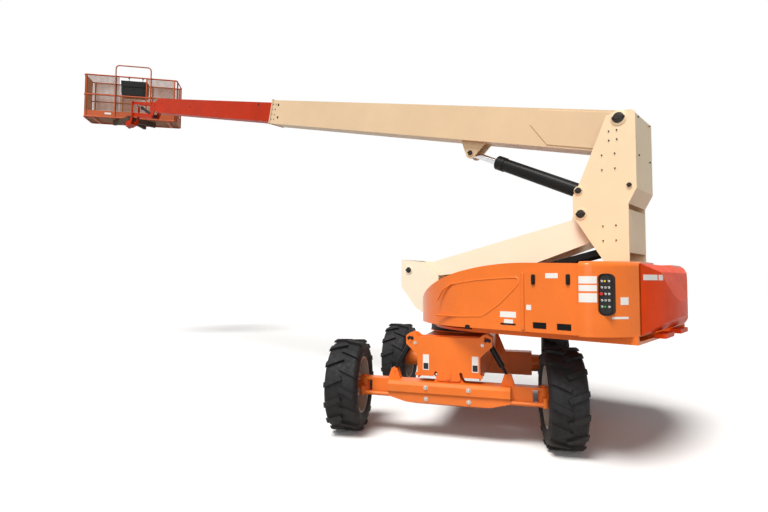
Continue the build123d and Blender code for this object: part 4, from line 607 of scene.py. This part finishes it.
CHEEK_N = span("upright", LEFT)[1] - 0.012  # the cheek's skin, behind the upright's furthest point
ELBOW_N = span("tower_elbow", LEFT)[1] - 0.008
pin_s, pin_z = side_of("boom_lift")
lift_s, lift_z = side_of("lift_cylinder_swing")
UPRIGHT_PINS = [(pin_s, pin_z, CHEEK_N, 0.050), (*side_of("upright_level"), CHEEK_N, 0.040),
                (lift_s, lift_z, CHEEK_N, 0.030), (lift_s - 0.462, lift_z, CHEEK_N, 0.020, False)]
# Squares of bolts on the upright's cheeks, from the boom's pin: top, bottom, front and back rows.
CHEEK_BOLTS = [(-0.110, -0.198, 0.089, 0.018), (-0.328, -0.468, 0.156, 0.039), (-1.003, -1.141, 0.156, 0.040)]
REAR_BOLT_N, REAR_BOLT_UP = (-0.19, 0.19), (0.0, -0.36)
ELBOW_PIN_R = 0.036
for side, place in (("near", NEAR), ("far", FAR)):
    ends, bolts = Piece(), Piece()
    for pin in UPRIGHT_PINS:
        pin_end(ends, bolts, place, *pin)
    for top, low, front, back in CHEEK_BOLTS:
        for u in (front, back):
            for v in (top, low):
                bolts.bolt(place, pin_s + u, pin_z + v, CHEEK_N, 0.0125, False)
    ends.done(f"upright_pin_ends_{side}", "cream", "upright")
    bolts.done(f"upright_bolts_{side}", "iron", "upright")
rear_bolts = Piece()
for u in REAR_BOLT_N:
    for v in REAR_BOLT_UP:
        rear_bolts.bolt(REAR, u, pin_z + v, depth("upright", REAR, u, pin_z + v), 0.014, False)
rear_bolts.done("upright_rear_bolts", "iron", "upright")
for side, place in (("near", NEAR), ("far", FAR)):
    ends, bolts = Piece(), Piece()
    for joint in ("tower_upper", "elbow_level"):
        pin_end(ends, bolts, place, *side_of(joint), ELBOW_N, ELBOW_PIN_R)
    ends.done(f"elbow_pin_ends_{side}", "tower", "elbow")
    bolts.done(f"elbow_bolts_{side}", "iron", "elbow")

# ---- Boom: access holes as black discs of painted shade, tail doubler, pad bolts and end collar
BASE_N = 0.145  # half the width of the boom's section
FLY_N = span("boom_fly", LEFT)[1] - 0.008  # the fly's flank, behind its furthest point
BASE_END = span("boom_base", BOOM_DIR, BOOM.origin.dot(BOOM_DIR))[1]
BASE_TOP = span("boom_base", BOOM_UP, BOOM.origin.dot(BOOM_UP))[1]
# Along the boom from its pin, up from the pin, and radius.
FLY_HOLES = [(6.339, 0.021, 0.020), (8.982, -0.093, 0.020), (10.054, -0.178, 0.016), (10.434, -0.040, 0.018)]
BASE_HOLES = [(BASE_END - 0.200, 0.020, 0.022), (BASE_END - 0.235, -0.190, 0.022)]
# Along the boom from its pin, and up from its top.
DOUBLER = [(0.88, -0.02), (0.10, -0.02), (0.02, -0.10), (0.10, -0.38), (0.70, -0.38), (0.95, -0.18)]
PAD_BOLT_ROWS, PAD_BOLT_STEP, PAD_BOLTS_BACK = 4, 0.085, (0.05, 0.13)
COLLAR_S, COLLAR_W, COLLAR_THICK = BASE_END - 0.016, 0.028, 0.010
for side, place in (("near", BOOM), ("far", BOOM_FAR)):
    fly_hole_painted_shade, base_hole_painted_shade, doubler, fixings = (Piece() for _ in range(4))
    # The access holes are black discs on the face: painted shade for the dark inside of each hole.
    for piece, spots, face in ((fly_hole_painted_shade, FLY_HOLES, FLY_N), (base_hole_painted_shade, BASE_HOLES, BASE_N)):
        for x, y, r in spots:
            piece.turned(place, x, y, face, [(r, -SUNK), (r, 0.0015)], 20)
    fly_hole_painted_shade.done(f"fly_hole_painted_shade_{side}", "plastic_and_painted_shade", "fly_boom")
    base_hole_painted_shade.done(f"base_hole_painted_shade_{side}", "plastic_and_painted_shade", "main_boom")
    doubler.plate(place, [(x, BASE_TOP + y) for x, y in DOUBLER], BASE_N, 0.009, 0.004)
    doubler.done(f"boom_tail_doubler_{side}", "boom", "main_boom")
    for k in range(PAD_BOLT_ROWS):
        for back in PAD_BOLTS_BACK:
            fixings.bolt(place, BASE_END - back, BASE_TOP - 0.07 - PAD_BOLT_STEP * k, BASE_N, 0.017)
    fixings.done(f"boom_pad_bolts_{side}", "zinc", "main_boom")
collar = Piece()
for y in (BASE_TOP + 0.0045, BASE_TOP - 0.4045):
    collar.slab(BOOM, rounded(COLLAR_S, y, COLLAR_W, 0.011), -BASE_N - COLLAR_THICK, BASE_N + COLLAR_THICK)
for place in (BOOM, BOOM_FAR):
    collar.plate(place, rounded(COLLAR_S, BASE_TOP - 0.2, COLLAR_W, 0.418), BASE_N, COLLAR_THICK)
collar.done("boom_end_collar", "boom", "main_boom")


# ---- Cylinders: a gland on each barrel's open end, and the lift cylinder's lug pin
def gland(kind, radius, length):
    """Ring round the open end of a barrel."""
    start, axis = joint_pos(f"{kind}_cylinder_swing"), joint_way(f"{kind}_cylinder_stroke")
    end = Place(start, LEFT, AWAY.cross(axis), axis)
    reach = span(f"{kind}_cylinder_barrel", axis, start.dot(axis))[1]
    ring = Piece()
    ring.turned(end, 0, 0, reach, [(radius, -length), (radius + 0.007, 0.004 - length),
                                   (radius + 0.007, -0.004), (radius, 0.001)], PIN_STEPS)
    ring.done(f"gland_{kind}_cylinder_barrel", "black", f"{kind}_cylinder_tube")


for kind, radius, length in (("lift", 0.074, 0.11), ("tower", 0.048, 0.07), ("jib", 0.034, 0.05)):
    gland(kind, radius, length)

ROD_EYE_R = 0.046
LUG_N, LUG_PIN_R = 0.0765, 0.030
rod_from, rod_way = joint_pos("lift_cylinder_swing"), joint_way("lift_cylinder_stroke")
rod_reach = span("lift_cylinder_rod", rod_way, rod_from.dot(rod_way))[1] - ROD_EYE_R
lug = rod_from + rod_way * rod_reach - BOOM.origin
for side, place in (("near", BOOM), ("far", BOOM_FAR)):
    ends, bolts = Piece(), Piece()
    pin_end(ends, bolts, place, lug.dot(BOOM_DIR), lug.dot(BOOM_UP), LUG_N, LUG_PIN_R)
    ends.done(f"lug_pin_{side}", "boom", "main_boom")
    bolts.done(f"lug_bolts_{side}", "iron", "main_boom")

# ---- Platform: wire mesh, blank plates and the console's controls
along_from, deep_from = AXIS.dot(ALONG), AXIS.dot(ACROSS)
FRAME_U = span("platform_frame", ALONG, along_from)
FRAME_W = span("platform_frame", ACROSS, deep_from)
FRAME_Z = span("platform_frame", UP)
CONSOLE_U = span("platform_console", ALONG, along_from)
CONSOLE_W = span("platform_console", ACROSS, deep_from)
CONSOLE_Z = span("platform_console", UP)
RAIL_R, CORNER = 0.019, 0.08
MESH_STEP, WIRE = 0.030, 0.0085
MESH_LOW, MESH_HIGH = FRAME_Z[0] + 0.19, FRAME_Z[1] - 2 * RAIL_R
CONSOLE_CLEAR = 0.03
SIDE_END = Place((AXIS.x, AXIS.y, 0), ACROSS, UP, ALONG)
INNER = Place((AXIS.x, AXIS.y, 0), ALONG, UP, -ACROSS)
CONSOLE_TOP = Place((AXIS.x, AXIS.y, CONSOLE_Z[1]), ALONG, ACROSS, UP)


def steps_between(low, high):
    """Evenly spaced places from low to high, about a mesh's step apart."""
    count = max(1, round((high - low) / MESH_STEP))
    return [low + (high - low) * i / count for i in range(count + 1)]


def wire_panel(piece, place, u0, u1, v0, v1, w):
    """Welded mesh of flat wires in a face."""
    for u in steps_between(u0, u1):
        piece.slab(place, rounded(u, (v0 + v1) / 2, WIRE, v1 - v0), w - WIRE / 2, w + WIRE / 2)
    for v in steps_between(v0, v1):
        piece.slab(place, rounded((u0 + u1) / 2, v, u1 - u0, WIRE), w - WIRE / 2, w + WIRE / 2)


mesh = Piece()
left, right = FRAME_U[0] + CORNER, FRAME_U[1] - CORNER
wire_panel(mesh, DECK, left, right, MESH_LOW, MESH_HIGH, FRAME_W[1] - RAIL_R)
# The boom's side leaves the console free.
for u0, u1, top in ((left, CONSOLE_U[0] - CONSOLE_CLEAR, MESH_HIGH),
                    (CONSOLE_U[0], CONSOLE_U[1], CONSOLE_Z[0] - CONSOLE_CLEAR),
                    (CONSOLE_U[1] + CONSOLE_CLEAR, right, MESH_HIGH)):
    if u1 - u0 > MESH_STEP and top - MESH_LOW > MESH_STEP:
        wire_panel(mesh, DECK, u0, u1, MESH_LOW, top, FRAME_W[0] + RAIL_R)
wire_panel(mesh, SIDE_END, FRAME_W[0] + CORNER, FRAME_W[1] - CORNER, MESH_LOW, MESH_HIGH, FRAME_U[1] - RAIL_R)
mesh.done("platform_mesh", "mesh", "platform")
plates = Piece()
toe_w = -(FRAME_W[0] + RAIL_R) + 0.003
for u in (0.62, -0.38):
    plates.slab(INNER, rounded(u, FRAME_Z[0] + 0.12, 0.16, 0.05, 0.006), toe_w, toe_w + 0.0025, 0.0008)
plates.done("toe_board_plates", "white", "platform")

STICK_U, TOGGLE_U, TOGGLE_BACK = (-0.19, 0.16), (-0.08, -0.04, 0.0, 0.04), 0.04
BOOT = [(0.034, -0.001), (0.036, 0.008), (0.024, 0.022), (0.012, 0.045)]
STICK_FOOT, STICK_HIGH, STICK_R = 0.03, 0.10, 0.007
STICK_KNOB = [(0.010, 0.095), (0.019, 0.105), (0.021, 0.125), (0.012, 0.138)]
TOGGLE = [(0.009, -0.001), (0.009, 0.006), (0.004, 0.007), (0.004, 0.024)]
# Down from the console's top, width, height, thickness and chamfer of its covers.
COVERS = [(0.10, 0.56, 0.13, 0.012, 0.006), (0.30, 0.52, 0.20, 0.008, 0.005)]
sticks, boots, lid = (Piece() for _ in range(3))
console_mid = sum(CONSOLE_W) / 2
for u in STICK_U:
    boots.turned(CONSOLE_TOP, u, console_mid, 0, BOOT, 20)
    sticks.tube([CONSOLE_TOP.at(u, console_mid, w) for w in (STICK_FOOT, STICK_HIGH)], STICK_R)
    sticks.turned(CONSOLE_TOP, u, console_mid, 0, STICK_KNOB, 18)
for u in TOGGLE_U:
    sticks.turned(CONSOLE_TOP, u, console_mid - TOGGLE_BACK, 0, TOGGLE, 12)
boots.done("console_boots", "plastic_and_painted_shade", "platform")
sticks.done("console_sticks", "label_black", "platform")
for down, w, h, thick, chamfer in COVERS:
    outline = rounded(sum(CONSOLE_U) / 2, CONSOLE_Z[1] - down, w, h, 0.02)
    lid.plate(INNER, outline, -CONSOLE_W[0], thick, chamfer)
lid.done("console_cover", "plastic_and_painted_shade", "platform")

# ---- Camera at the photograph's viewpoint
VIEW_FROM = Vector((0.8516, -5.9952, 1.5633))
YAW, PITCH, ROLL = -0.301045, 0.050642, 0.003773
LENS_MM, SENSOR_MM = 23.0933, 36
forward = Vector((math.sin(YAW) * math.cos(PITCH), math.cos(YAW) * math.cos(PITCH), math.sin(PITCH)))
level = Vector((math.cos(YAW), -math.sin(YAW), 0))
lift = level.cross(forward)
cam_right = level * math.cos(ROLL) + lift * math.sin(ROLL)
cam_up = lift * math.cos(ROLL) - level * math.sin(ROLL)
cam_data = bpy.data.cameras.new("view")
cam_data.sensor_width = SENSOR_MM
cam_data.lens = LENS_MM
cam = bpy.data.objects.new("view", cam_data)
turn = Matrix((cam_right, cam_up, -forward)).transposed()
cam.matrix_world = Matrix.Translation(VIEW_FROM) @ turn.to_4x4()
bpy.context.scene.collection.objects.link(cam)
bpy.context.scene.camera = cam

# ---- Floor, world and lights
WHITE = (1, 1, 1, 1)
FLOOR_SIZE, FLOOR_DOWN = 120, 0.002
FLOOR_GREY = (0.30, 0.30, 0.30, 1)  # what the floor throws back at the object
# The world's light from behind the camera, from the side and from ahead of it.
SKY = [(0.0, (0.13, 0.13, 0.135)), (0.5, (0.12, 0.12, 0.125)), (1.0, (0.24, 0.23, 0.22))]
SKY_WAY = (-0.52, -0.78, -0.35)
# Name, strength, spread in degrees, direction and tint: a high key lamp lays the shadow under the
# machine, and a low one from the camera's side fills the flanks.
SUNS = [("key", 3.40, 24, (0.15, 0.48, -0.865), (1.0, 0.98, 0.95)),
        ("fill", 1.30, 50, (0.04, 0.98, -0.14), (1.0, 0.99, 0.97))]


def background_rays(tree):
    """1 where the camera, a reflection or glass sees the background, and 0 where it lights the object."""
    rays = tree.nodes.new("ShaderNodeLightPath")
    seen = rays.outputs["Is Camera Ray"]
    for kind in ("Is Transmission Ray", "Is Glossy Ray"):
        either = tree.nodes.new("ShaderNodeMath")
        either.operation = "MAXIMUM"
        link(tree, seen, either.inputs[0])
        link(tree, rays.outputs[kind], either.inputs[1])
        seen = either.outputs[0]
    return seen


def show_to_rays(tree, lighting, seen, target):
    """One shader where the background is seen, and another where it lights the object."""
    blend = tree.nodes.new("ShaderNodeMixShader")
    link(tree, background_rays(tree), blend.inputs[0])
    link(tree, lighting.outputs[0], blend.inputs[1])
    link(tree, seen.outputs[0], blend.inputs[2])
    link(tree, blend.outputs[0], tree.nodes[target].inputs["Surface"])


floor_mat, floor_tree, floor_bsdf = shader("studio_floor")
floor_bsdf.inputs["Base Color"].default_value = FLOOR_GREY
floor_bsdf.inputs["Roughness"].default_value = 0.9
seen_floor = floor_tree.nodes.new("ShaderNodeBsdfDiffuse")
seen_floor.inputs["Color"].default_value = WHITE
show_to_rays(floor_tree, floor_bsdf, seen_floor, "Material Output")
bpy.ops.mesh.primitive_plane_add(size=FLOOR_SIZE, location=(0, 0, -FLOOR_DOWN))
floor = bpy.context.object
floor.name = "floor"
floor.data.materials.append(floor_mat)

world = bpy.data.worlds.new("studio")
bpy.context.scene.world = world
world.use_nodes = True
sky_tree = world.node_tree
ambient = sky_tree.nodes["Background"]
sky = sky_tree.nodes.new("ShaderNodeTexCoord")
toward = sky_tree.nodes.new("ShaderNodeVectorMath")
toward.operation = "DOT_PRODUCT"
link(sky_tree, sky.outputs["Generated"], toward.inputs[0])
toward.inputs[1].default_value = SKY_WAY
wide = sky_tree.nodes.new("ShaderNodeMapRange")
wide.inputs["From Min"].default_value = -1.0
link(sky_tree, toward.outputs["Value"], wide.inputs["Value"])
link(sky_tree, ramp(sky_tree, wide.outputs[0], SKY), ambient.inputs["Color"])
ambient.inputs["Strength"].default_value = 1.0
seen_sky = sky_tree.nodes.new("ShaderNodeBackground")
seen_sky.inputs["Color"].default_value = WHITE
show_to_rays(sky_tree, ambient, seen_sky, "World Output")

for name, energy, spread, way, tint in SUNS:
    sun_data = bpy.data.lights.new(name, "SUN")
    sun_data.energy = energy
    sun_data.angle = math.radians(spread)
    sun_data.color = tint
    sun = bpy.data.objects.new(name, sun_data)
    sun.rotation_mode = "QUATERNION"
    sun.rotation_quaternion = Vector(way).to_track_quat("-Z", "Y")
    bpy.context.scene.collection.objects.link(sun)

bpy.context.scene.view_settings.view_transform = "Standard"
